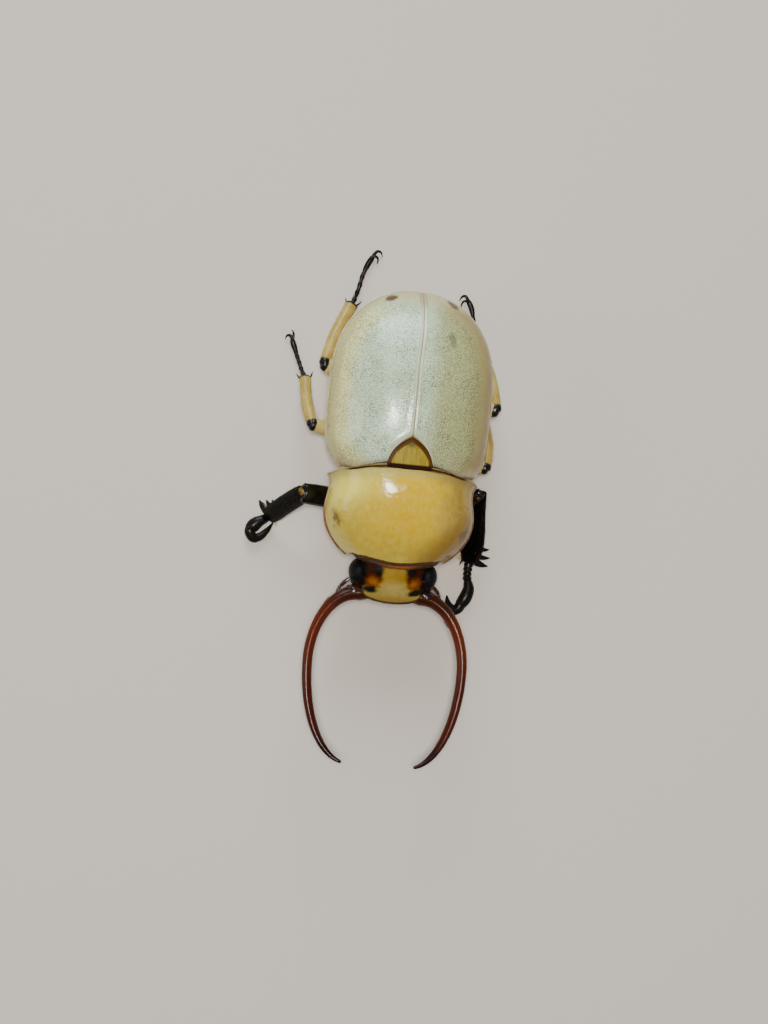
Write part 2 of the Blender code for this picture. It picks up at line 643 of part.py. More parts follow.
LEGS = {
    # The coxa's ends, the hip, where the femur leaves the coxa, the knee, the ankle, and then the middle of the
    # tarsus down to its claws. The tibia is broad along wide_axis, and bow is how far it bends that way.
    ("front", RIGHT): {
        "coxa": ((-1.0, -4.0, 2.7), (-2.5, -3.25, 2.1)),
        "hip": (-2.9, -3.0, 2.05),
        "knee": (-8.05, -2.68, 5.0),
        "ankle": (-10.35, -4.75, 1.0),
        "toes": ((-10.8, -5.1, 0.62), (-11.35, -5.5, 0.46), (-11.75, -6.1, 0.44)),
        "wide_axis": (-0.60, 0.80, 0.0),
        "bow": 0.15,
        "claws": (
            (
                (-11.75, -6.5, 0.48), (-11.4, -6.95, 0.42), (-10.8, -6.75, 0.34),
                (-10.3, -6.2, 0.28), (-9.9, -5.6, 0.22),
            ),
            ((-11.9, -6.4, 0.42), (-12.05, -6.75, 0.34), (-11.85, -7.1, 0.2)),
        ),
    },
    ("front", LEFT): {
        "coxa": ((1.0, -4.6, 2.7), (2.3, -4.6, 1.95)),
        "hip": (2.7, -4.35, 1.95),
        "knee": (6.95, -1.25, 3.95),
        "ankle": (6.95, -7.05, 1.15),
        "toes": (
            (6.95, -7.7, 0.80), (6.98, -8.5, 0.52), (7.12, -9.4, 0.45),
            (7.05, -10.2, 0.44), (6.75, -10.85, 0.46),
        ),
        "wide_axis": (1.0, 0.0, 0.05),
        "bow": 0.15,
        "claws": (
            (
                (6.5, -11.2, 0.48), (6.05, -11.45, 0.42), (5.55, -11.25, 0.34),
                (5.3, -10.75, 0.28), (5.3, -10.2, 0.22),
            ),
            ((6.75, -11.2, 0.42), (6.5, -11.6, 0.34), (6.1, -11.8, 0.2)),
        ),
    },
    ("middle", RIGHT): {
        "coxa": ((-0.9, 1.9, 2.6), (-2.0, 2.2, 2.05)),
        "hip": (-2.4, 2.25, 2.0),
        "knee": (-7.85, 3.1, 4.1),
        "ankle": (-8.55, 7.05, 1.0),
        "toes": ((-8.8, 7.55, 0.62), (-9.2, 8.5, 0.34), (-9.6, 9.5, 0.23), (-9.9, 10.2, 0.25)),
        "wide_axis": (1.0, 0.15, 0.0),
        "bow": -0.15,
        "claws": (
            ((-9.95, 10.35, 0.32), (-10.15, 10.6, 0.34), (-10.4, 10.55, 0.28), (-10.5, 10.25, 0.15)),
            ((-9.85, 10.3, 0.32), (-9.85, 10.7, 0.34), (-9.9, 10.95, 0.24), (-10.05, 11.1, 0.12)),
        ),
    },
    ("middle", LEFT): {
        "coxa": ((0.9, 1.9, 2.6), (1.95, 2.1, 2.0)),
        "hip": (2.35, 2.1, 2.0),
        "knee": (7.0, 0.95, 3.8),
        "ankle": (6.7, 5.3, 1.0),
        "toes": ((6.6, 5.85, 0.62), (6.4, 6.8, 0.34), (6.15, 7.8, 0.23), (5.95, 8.5, 0.25)),
        "wide_axis": (1.0, 0.0, 0.0),
        "bow": 0.3,
        "claws": (
            ((5.9, 8.65, 0.32), (5.7, 8.95, 0.34), (5.4, 8.95, 0.28), (5.25, 8.65, 0.15)),
            ((6.0, 8.65, 0.32), (6.05, 9.05, 0.34), (5.95, 9.3, 0.24), (5.8, 9.45, 0.12)),
        ),
    },
    ("hind", RIGHT): {
        "coxa": ((-1.2, 5.5, 2.55), (-4.3, 5.8, 3.0)),
        "hip": (-2.2, 6.55, 1.75),
        "knee": (-7.25, 8.3, 3.5),
        "ankle": (-5.25, 13.65, 1.0),
        "toes": (
            (-5.0, 14.2, 0.64), (-4.7, 15.15, 0.38), (-4.45, 16.3, 0.27),
            (-4.1, 17.3, 0.23), (-3.75, 17.95, 0.25),
        ),
        "wide_axis": (1.0, 0.4, 0.0),
        "bow": -0.15,
        "claws": (
            ((-3.7, 18.1, 0.32), (-3.4, 18.5, 0.34), (-3.05, 18.45, 0.28), (-2.9, 18.1, 0.15)),
            ((-3.75, 18.0, 0.32), (-3.4, 18.05, 0.34), (-3.25, 17.75, 0.26), (-3.3, 17.45, 0.12)),
        ),
    },
    ("hind", LEFT): {
        "coxa": ((1.2, 5.5, 2.55), (4.3, 5.8, 3.0)),
        "hip": (2.2, 6.35, 1.75),
        "knee": (7.4, 5.85, 3.6),
        "ankle": (5.85, 11.3, 1.0),
        "toes": (
            (5.7, 11.9, 0.64), (5.55, 12.8, 0.38), (5.4, 13.7, 0.27),
            (5.2, 14.5, 0.23), (4.9, 15.05, 0.25),
        ),
        "wide_axis": (1.0, 0.3, 0.0),
        "bow": 0.25,
        "claws": (
            ((4.8, 15.2, 0.32), (4.55, 15.5, 0.34), (4.25, 15.4, 0.28), (4.1, 15.05, 0.15)),
            ((4.8, 15.1, 0.32), (4.45, 15.05, 0.34), (4.3, 14.75, 0.26), (4.3, 14.45, 0.12)),
        ),
    },
}

COXA_SIZES = {"front": (0.95, 0.95), "middle": (0.9, 0.85), "hind": (0.75, 0.85)}
FEMUR_WIDTHS = {
    "front": (0.45, 0.66, 0.80, 0.82, 0.82, 0.74),
    "middle": (0.40, 0.62, 0.74, 0.74, 0.62, 0.46),
    "hind": (0.45, 0.80, 0.98, 0.95, 0.75, 0.50),
}
FEMUR_DEPTHS = {
    "front": (0.40, 0.48, 0.54, 0.56, 0.55, 0.50),
    "middle": (0.38, 0.50, 0.55, 0.55, 0.50, 0.42),
    "hind": (0.42, 0.55, 0.62, 0.62, 0.56, 0.45),
}
TIBIA_WIDTHS = {
    "front": (0.58, 0.74, 0.80, 0.82, 0.80, 0.58),
    "middle": (0.36, 0.44, 0.45, 0.46, 0.48, 0.46),
    "hind": (0.38, 0.46, 0.50, 0.50, 0.52, 0.50),
}
TIBIA_DEPTHS = {
    "front": (0.40, 0.42, 0.42, 0.42, 0.38, 0.32),
    "middle": (0.34, 0.38, 0.40, 0.42, 0.44, 0.42),
    "hind": (0.36, 0.42, 0.44, 0.46, 0.48, 0.46),
}
TOE_RADIUS = {"front": 0.36, "middle": 0.25, "hind": 0.26}
CLAW_JOINT_RADIUS = {"front": 0.52, "middle": 0.29, "hind": 0.29}  # the long last joint, which bears the claws
CLAW_RADIUS = {"front": 0.27, "middle": 0.16, "hind": 0.16}
TOES = 4  # short joints before the last
TOES_SHARE = {"front": 0.5, "middle": 0.62, "hind": 0.62}  # of the tarsus length
FRONT_TEETH = ((0.78, 0.60), (0.90, 0.85), (0.99, 0.80))  # place along the tibia and reach of each outer tooth
TOOTH_ROOT = 0.4  # how deep a tooth starts inside the tibia
TOOTH_HALF_WIDTH = 0.32
TOOTH_SLANT = 0.5
SPURS = ((-0.5, 0.75), (0.5, 0.85))  # place across the tibia's end, and length
SPUR_HALF_WIDTH = 0.20


def tarsus_radius(pair, share):
    # The short joints each widen to their ends; the last swells along its middle.
    short = TOES_SHARE[pair]
    if share < short:
        return TOE_RADIUS[pair] * (0.80 + 0.26 * (share / short * TOES % 1))
    rest = (share - short) / (1 - short)
    return CLAW_JOINT_RADIUS[pair] * (0.72 + 0.28 * math.sin(math.pi * (0.12 + 0.75 * rest)))


def leg(pair, side):
    plan = LEGS[(pair, side)]
    hip, knee, ankle = Vector(plan["hip"]), Vector(plan["knee"]), Vector(plan["ankle"])
    wide_axis = Vector(plan["wide_axis"])

    # coxa
    near, far = (Vector(p) for p in plan["coxa"])
    wide, deep = COXA_SIZES[pair]
    swell = (0.75, 1.0, 0.95, 0.7)
    coxa = tube("coxa", smooth_path([near, near.lerp(far, 0.5), far], 2), [wide * s for s in swell],
                [deep * s for s in swell], (0, 1, 0.2), sides=10, blunt=0.7)

    # femur
    femur_path = smooth_path([hip, hip.lerp(knee, 0.5) + Vector((0, 0, -0.10)), knee], 3)
    femur = tube("femur", femur_path, FEMUR_WIDTHS[pair], FEMUR_DEPTHS[pair], (0, 1, 0), sides=10, blunt=0.7)

    # tibia, starting on the knee
    run = (ankle - knee).normalized()
    across = (wide_axis - wide_axis.dot(run) * run).normalized()
    tibia_path = smooth_path([knee, knee.lerp(ankle, 0.5) + plan["bow"] * across, ankle], 3)
    tibia = tube("tibia", tibia_path, TIBIA_WIDTHS[pair], TIBIA_DEPTHS[pair], wide_axis, sides=10, blunt=0.5)
    plain_tibia = twin(tibia, "plain_tibia")
    spines = []
    if pair == "front":
        for share, reach in FRONT_TEETH:
            root = knee.lerp(ankle, share) + across * (along(TIBIA_WIDTHS[pair], share) - TOOTH_ROOT)
            tip = root + across * (TOOTH_ROOT + reach) + run * TOOTH_SLANT
            spines.append(cone(root, tip, TOOTH_HALF_WIDTH, bend=run * -0.08))
    else:
        for place, length in SPURS:
            root = ankle + across * place * 0.62 - run * 0.15
            tip = root + run * length + across * place * 0.35
            spines.append(cone(root, tip, SPUR_HALF_WIDTH, sides=5))
    fuse(tibia, spines)

    # tarsus and its claws
    path = smooth_path([ankle + run * 0.1] + [Vector(p) for p in plan["toes"]], 3)
    last = len(path) - 1
    radii = [tarsus_radius(pair, i / last) for i in range(last + 1)]
    tarsus = tube("tarsus", path, radii, radii, (0, 0, 1), sides=8, blunt=0.7)
    claws = []
    for k, points in enumerate(plan["claws"]):
        root = path[-1].lerp(path[-2], 0.6)
        claw_path = smooth_path([root] + [Vector(p) for p in points], 2)
        size = CLAW_RADIUS[pair] * (1.0 if k == 0 else 0.8)
        taper = [size * s for s in (1.0, 1.0, 0.85, 0.6, 0.25)]
        claws.append(tube("claw", claw_path, taper, taper, (0, 0, 1), sides=6, blunt=1.0))
    fuse(tarsus, claws)

    carve(femur, [coxa])
    carve(tibia, [femur])
    carve(tarsus, [plain_tibia])
    cut_flat(tarsus, (0, 0, 0), (0, 0, -1))
    bpy.data.objects.remove(plain_tibia, do_unlink=True)

    name = pair + "_{}_" + SIDE_NAMES[side]
    limb = "black" if pair == "front" else "leg_pale"
    node(coxa, name.format("coxa"), "belly_pale")
    node(femur, name.format("femur"), limb)
    node(tibia, name.format("tibia"), limb)
    node(tarsus, name.format("tarsus"), "black")


def clear_of_legs(obj, pairs):
    neighbours = []
    for pair in pairs:
        for side in SIDE_NAMES.values():
            neighbours += [nodes[f"{pair}_coxa_{side}"], nodes[f"{pair}_femur_{side}"]]
    carve(obj, neighbours, solver="MANIFOLD")  # the hollows for coxa and femur run into each other


def build_body():
    shield = scutellum()
    for side, name in SIDE_NAMES.items():
        case = elytron(side)
        carve(case, [shield], gap=0.15)
        node(case, f"elytron_{name}", "wing_case")
    node(shield, "scutellum", "pronotum_yellow")
    node(pronotum(), "pronotum", "pronotum_yellow")

    breast = chest()
    clear_of_legs(breast, ("front",))
    node(breast, "prosternum", "belly_pale")

    front = hind_body()
    clear_of_legs(front, ("middle", "hind"))
    rear = twin(front, "rear")
    cut_flat(front, (0, WAIST_CUT_Y - GAP / 2, 0), (0, 1, 0))
    cut_flat(rear, (0, WAIST_CUT_Y + GAP / 2, 0), (0, -1, 0))
    lean = Vector((0, math.cos(PYGIDIUM_LEAN), math.sin(PYGIDIUM_LEAN)))
    cut = Vector((0, PYGIDIUM_CUT_Y, ELYTRA_MARGIN_Z))
    plate = twin(rear, "plate")
    cut_flat(rear, cut - lean * GAP / 2, lean)
    cut_flat(plate, cut + lean * GAP / 2, -lean)
    node(front, "metathorax", "belly_pale")
    node(rear, "abdomen", "belly_pale")
    node(plate, "pygidium", "leg_pale")


def build_head():
    skull = head()
    parts = {"labrum": labrum(), "labium": labium()}
    for side, name in SIDE_NAMES.items():
        parts[f"mandible_{name}"] = mandible(side)
        parts[f"antenna_{name}"] = antenna(side)
        parts[f"maxilla_{name}"] = maxilla(side)
        x, y, z = EYE_CENTRE
        parts[f"eye_{name}"] = ball("eye", (side * x, y, z), EYE_RADII)
    carve(skull, [parts[k] for k in parts if not k.startswith(("labrum", "labium"))])
    for name in SIDE_NAMES.values():
        carve(parts["labrum"], [parts[f"mandible_{name}"]])
        carve(parts["labium"], [parts[f"maxilla_{name}"]])
        carve(parts[f"antenna_{name}"], [parts[f"mandible_{name}"]])
    carve(parts["labrum"], [skull])
    carve(parts["labium"], [skull])
    node(skull, "head", "head_yellow")
    colours = {"labrum": "black", "labium": "black", "mandible": "jaw_red", "eye": "eye_black"}
    for name, obj in parts.items():
        node(obj, name, colours.get(name.split("_")[0], "black"))


def set_down():
    # Scales to metres and hangs all on one empty that centres the footprint on the origin.
    for obj in nodes.values():
        obj.data.transform(Matrix.Scale(MM, 4))
        obj.data.shade_smooth()
        obj.data.set_sharp_from_angle(angle=math.radians(50))
    corners = np.array([v.co for obj in nodes.values() for v in obj.data.vertices])
    low, high = corners.min(0), corners.max(0)
    carrier = bpy.data.objects.new("beetle", None)
    bpy.context.scene.collection.objects.link(carrier)
    carrier.location = (-(low[0] + high[0]) / 2, -(low[1] + high[1]) / 2, -low[2])
    for obj in nodes.values():
        obj.parent = carrier


clear_scene()
for pair_name in ("front", "middle", "hind"):
    for leg_side in SIDE_NAMES:
        leg(pair_name, leg_side)
build_body()
build_head()
set_down()
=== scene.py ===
import math
import random

import bmesh
import bpy
from mathutils import Matrix, Vector


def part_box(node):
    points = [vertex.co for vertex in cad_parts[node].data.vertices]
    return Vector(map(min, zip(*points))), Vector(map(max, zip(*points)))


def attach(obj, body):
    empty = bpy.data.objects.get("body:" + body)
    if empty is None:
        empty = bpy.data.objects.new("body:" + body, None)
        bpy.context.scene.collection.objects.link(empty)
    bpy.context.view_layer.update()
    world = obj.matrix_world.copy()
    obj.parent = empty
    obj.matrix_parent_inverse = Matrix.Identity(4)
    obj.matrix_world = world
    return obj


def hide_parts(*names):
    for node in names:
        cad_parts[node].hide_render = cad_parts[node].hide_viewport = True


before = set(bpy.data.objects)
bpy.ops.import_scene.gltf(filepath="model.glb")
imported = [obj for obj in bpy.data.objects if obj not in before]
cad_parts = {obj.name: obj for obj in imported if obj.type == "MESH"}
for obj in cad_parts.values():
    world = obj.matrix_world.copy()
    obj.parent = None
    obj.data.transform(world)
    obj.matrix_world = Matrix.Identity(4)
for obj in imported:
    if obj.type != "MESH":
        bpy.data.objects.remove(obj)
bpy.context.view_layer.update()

# Everything below is drawn in millimetres in the beetle's own frame: mid-plane at x 0, wing cases from y 0 to
# the rear, floor at z 0. place() puts a finished piece where the frame has it.
mm = 0.001
shieldHindEdge = 0.3  # its y in the beetle's frame
shieldLow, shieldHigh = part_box("pronotum")
midX = (shieldLow[0] + shieldHigh[0]) / 2
baseY = shieldHigh[1] - shieldHindEdge * mm
sideNames = {-1: "right", 1: "left"}


def deselect():
    if bpy.context.object and bpy.context.object.mode != "OBJECT":
        bpy.ops.object.mode_set(mode="OBJECT")
    bpy.ops.object.select_all(action="DESELECT")


def activate(*objs):
    deselect()
    for obj in objs:
        obj.select_set(True)
    bpy.context.view_layer.objects.active = objs[0]


def edit(obj):
    # edit mode, with the whole mesh selected
    activate(obj)
    bpy.ops.object.mode_set(mode="EDIT")
    bpy.ops.mesh.select_mode(type="VERT")
    bpy.ops.mesh.select_all(action="SELECT")


def addObject(name, data):
    obj = bpy.data.objects.new(name, data)
    bpy.context.scene.collection.objects.link(obj)
    return obj


def pick(obj, test):
    # in edit mode: selects the vertices for which test(index, place) is true
    mesh = bmesh.from_edit_mesh(obj.data)
    bpy.ops.mesh.select_all(action="DESELECT")
    for v in mesh.verts:
        if test(v.index, v.co):
            v.select_set(True)
    mesh.select_flush_mode()
    bmesh.update_edit_mesh(obj.data, loop_triangles=False, destructive=False)


def done(obj):
    bpy.ops.object.mode_set(mode="OBJECT")
    return obj


def mend(obj, distance):
    # merges doubles and turns the faces outwards
    edit(obj)
    bpy.ops.mesh.remove_doubles(threshold=distance)
    bpy.ops.mesh.normals_make_consistent(inside=False)
    return done(obj)


def thicken(plate, thickness, roundness=0.0):
    # gives an open plate its wall, from its upper side inwards, and takes the sharpness off its edges
    if sum(p.normal.z * p.area for p in plate.data.polygons) < 0:
        plate.data.flip_normals()
    wall = plate.modifiers.new("wall", "SOLIDIFY")
    wall.thickness = thickness
    wall.offset = -1
    if roundness:
        bevel = plate.modifiers.new("round", "BEVEL")
        bevel.width = roundness
        bevel.segments = 2
        bevel.limit_method = "ANGLE"
        bevel.angle_limit = math.radians(50)
    activate(plate)
    for step in list(plate.modifiers):
        bpy.ops.object.modifier_apply(modifier=step.name)


def join(objs, name):
    activate(*objs)
    if len(objs) > 1:
        bpy.ops.object.join()
    made = bpy.context.object
    made.name = name
    made.data.name = name
    return made


def place(obj, name, material, nodes=()):
    # sets a finished piece down in the frame, with its place in its mesh
    activate(obj)
    obj.scale = (mm, mm, mm)
    obj.location = (midX, baseY, 0)
    bpy.ops.object.transform_apply(location=True, rotation=True, scale=True)
    bpy.ops.object.shade_smooth_by_angle(angle=math.radians(40))
    obj.name = name
    obj.data.name = name
    obj.data.materials.clear()
    obj.data.materials.append(material)
    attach(obj, "root")
    if nodes:
        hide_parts(*nodes)


def power(value, exponent):
    return math.copysign(abs(value) ** exponent, value)


def smoothStep(low, high, value):
    share = min(max((value - low) / (high - low), 0), 1)
    return share * share * (3 - 2 * share)


def bell(distance, width):
    return math.exp(-(distance / width) ** 2)


def curveAt(a, b, c, d, t):
    # a number or place between b and c, on the smooth curve through all four
    straight = 2 * b + (c - a) * t
    return 0.5 * (straight + (2 * a - 5 * b + 4 * c - d) * t * t + (3 * b - a - 3 * c + d) * t ** 3)


def bentGrid(name, across, along, columnSpot, rowShape, rolled=False):
    # a grid bent column by column into a section, then row by row into the body's length
    deselect()
    bpy.ops.mesh.primitive_grid_add(x_subdivisions=across, y_subdivisions=along, size=2, location=(0, 0, 0))
    obj = bpy.context.object
    obj.name = name
    edit(obj)
    bpy.ops.transform.resize(value=(0, 0, 0), center_override=(0, 0, 0))
    width = across + 1
    for i in range(width):
        pick(obj, lambda n, co: n % width == i)
        bpy.ops.transform.translate(value=columnSpot(i / across))
    for j in range(along + 1):
        pick(obj, lambda n, co: n // width == j)
        stretch, shift, *under = rowShape(j / along)
        bpy.ops.transform.resize(value=stretch, center_override=(0, 0, 0))
        if under:  # the lower half is deeper or flatter than the upper
            pick(obj, lambda n, co: n // width == j and co.z < 0)
            bpy.ops.transform.resize(value=(1, 1, under[0]), center_override=(0, 0, 0))
            pick(obj, lambda n, co: n // width == j)
        bpy.ops.transform.translate(value=shift)
    bpy.ops.mesh.select_all(action="SELECT")
    if rolled:
        bpy.ops.mesh.remove_doubles(threshold=0.004)
    bpy.ops.mesh.normals_make_consistent(inside=False)
    return done(obj)


def section(topRound, underRound):
    # once round an oval that may be squarer above than below
    def spot(share):
        turn = 2 * math.pi * share
        bend = 2 / (topRound if math.sin(turn) >= 0 else underRound)
        return (power(math.cos(turn), bend), 0, power(math.sin(turn), bend))

    return spot


def closedForm(name, across, along, rounds, rowAt):
    # a rolled grid that its first and last rows close; rowAt(share) gives (size, place, depth below)
    def row(share):
        k = round(share * (along + 2))
        size, *rest = rowAt(min(max((k - 1) / along, 0), 1))
        shrink = 0.0004 if k in (0, along + 2) else 1
        return (size[0] * shrink, 1, size[2] * shrink), *rest

    return bentGrid(name, across, along + 2, section(*rounds), row, rolled=True)


def stationed(stations):
    # rows that follow a list of (y, half width, bottom, top), eased between its lines
    def row(share):
        last = len(stations) - 1
        at = share * last
        k = min(int(at), last - 1)
        near = [stations[min(max(k + step, 0), last)] for step in (-1, 0, 1, 2)]
        y, wide, bottom, top = (curveAt(*four, at - k) for four in zip(*near))
        return (max(wide, 0.002), 1, max((top - bottom) / 2, 0.002)), (0, y, (top + bottom) / 2)

    return row


def relief(obj, move):
    # raises fine forms: move(place) gives each vertex its shift
    for v in obj.data.vertices:
        v.co += Vector(move(v.co))
    obj.data.update()


def smoothPath(points, steps):
    knots = [2 * Vector(points[0]) - Vector(points[1])] + [Vector(p) for p in points]
    knots.append(2 * knots[-1] - knots[-2])
    path = []
    for four in zip(knots, knots[1:], knots[2:], knots[3:]):
        path += [curveAt(*four, k / steps) for k in range(steps)]
    path.append(knots[-2])
    return path


def mirrored(points, side):
    return [(side * x, y, z) for x, y, z in points]


def blendList(values, share):
    at = min(max(share, 0), 1) * (len(values) - 1)
    low = min(int(at), len(values) - 2)
    return values[low] + (values[low + 1] - values[low]) * (at - low)


ovals = {}


def ovalProfile(flat, sides):
    # the section that a limb's curve is given; flat is its height for a width of 1
    key = (round(flat, 3), sides)
    if key not in ovals:
        curve = bpy.data.curves.new("oval", "CURVE")
        curve.dimensions = "2D"
        spline = curve.splines.new("POLY")
        spline.points.add(sides - 1)
        for k, point in enumerate(spline.points):
            turn = 2 * math.pi * k / sides
            point.co = (math.cos(turn), flat * math.sin(turn), 0, 1)
        spline.use_cyclic_u = True
        ovals[key] = addObject("oval", curve)
    return ovals[key]


def limb(name, path, widths, flat=1.0, sides=16, ends=(0.5, 0.5)):
    # a curve with an oval section whose width follows widths, rounded at both ends, made a mesh
    path = [Vector(p) for p in path]
    spots = [(p, blendList(widths, k / (len(path) - 1))) for k, p in enumerate(path)]
    caps = []
    tips = (path[0], path[1], widths[0], ends[0]), (path[-1], path[-2], widths[-1], ends[1])
    for tip, before, size, reach in tips:
        out = (tip - before).normalized()
        angles = (0.5, 0.95, 1.3, 1.52)
        caps.append([(tip + out * size * reach * math.sin(a), size * math.cos(a)) for a in angles])
    spots = caps[0][::-1] + spots + caps[1]
    curve = bpy.data.curves.new(name, "CURVE")
    curve.dimensions = "3D"
    curve.twist_mode = "Z_UP"
    curve.bevel_mode = "OBJECT"
    curve.bevel_object = ovalProfile(flat, sides)
    curve.use_fill_caps = True
    spline = curve.splines.new("POLY")
    spline.points.add(len(spots) - 1)
    for point, (spot, size) in zip(spline.points, spots):
        point.co = (*spot, 1)
        point.radius = size
    activate(addObject(name, curve))
    bpy.ops.object.convert(target="MESH")
    return mend(bpy.context.object, 0.0005)


def mark(obj, name, valueOf):
    # stores a number at each vertex, for the material
    layer = obj.data.attributes.new(name, "FLOAT", "POINT")
    for v in obj.data.vertices:
        layer.data[v.index].value = valueOf(v.co)


def alongPath(path):
    # how far along the path a place lies, from 0 to 1
    path = [Vector(p) for p in path]
    return lambda co: min(range(len(path)), key=lambda k: (path[k] - co).length_squared) / (len(path) - 1)


def edgeDistance(edge, flat=False):
    # how far a place lies from an edge given by its points; flat leaves out the height
    edge = [Vector((p[0], p[1], 0 if flat else p[2])) for p in edge]
    runs = [(a, b - a) for a, b in zip(edge, edge[1:])]

    def share(spot, a, run):
        return min(max((spot - a).dot(run) / run.length_squared, 0), 1)

    def far(co):
        spot = Vector((co.x, co.y, 0)) if flat else co
        return min((a + run * share(spot, a, run) - spot).length for a, run in runs)

    return far


def hairs(name, roots, seed):
    # bristles: one is a thin cone, and each copy has its own mesh
    # roots hold (place, direction, length, width)
    draw = random.Random(seed)
    deselect()
    bpy.ops.mesh.primitive_cone_add(vertices=3, radius1=0.5, radius2=0, depth=1, end_fill_type="NGON",
                                    location=(0, 0, 0.5))
    stem = bpy.context.object
    edit(stem)
    bpy.ops.transform.translate(value=(0, 0, 0.5))
    done(stem)
    stem.location = (0, 0, 0)
    crowd = bmesh.new()
    for spot, way, length, width in roots:
        turn = Vector(way).normalized().to_track_quat("Z", "Y").to_matrix().to_4x4()
        spin = Matrix.Rotation(draw.uniform(0, 6.28), 4, "Z")
        scale = Matrix.Diagonal((width, width, length, 1))
        before = len(crowd.verts)
        crowd.from_mesh(stem.data)
        crowd.verts.ensure_lookup_table()
        fresh = crowd.verts[before:]
        bmesh.ops.transform(crowd, matrix=Matrix.Translation(Vector(spot)) @ turn @ spin @ scale, verts=fresh)
    mesh = bpy.data.meshes.new(name)
    crowd.to_mesh(mesh)
    crowd.free()
    bpy.data.objects.remove(stem, do_unlink=True)
    return addObject(name, mesh)


# Shader maths


class Wire:
    # a socket's value in an expression; each operator adds its Math node
    def __init__(self, finish, socket):
        self.finish = finish
        self.socket = socket

    def maths(self, operation, *values):
        return self.finish.add("Math", {"operation": operation}, dict(enumerate(values)))

    def __add__(self, other):
        return self.maths("ADD", self, other)

    def __radd__(self, other):
        return self.maths("ADD", other, self)

    def __sub__(self, other):
        return self.maths("SUBTRACT", self, other)

    def __rsub__(self, other):
        return self.maths("SUBTRACT", other, self)

    def __mul__(self, other):
        return self.maths("MULTIPLY", self, other)

    def __rmul__(self, other):
        return self.maths("MULTIPLY", other, self)

    def __abs__(self):
        return self.maths("ABSOLUTE", self)


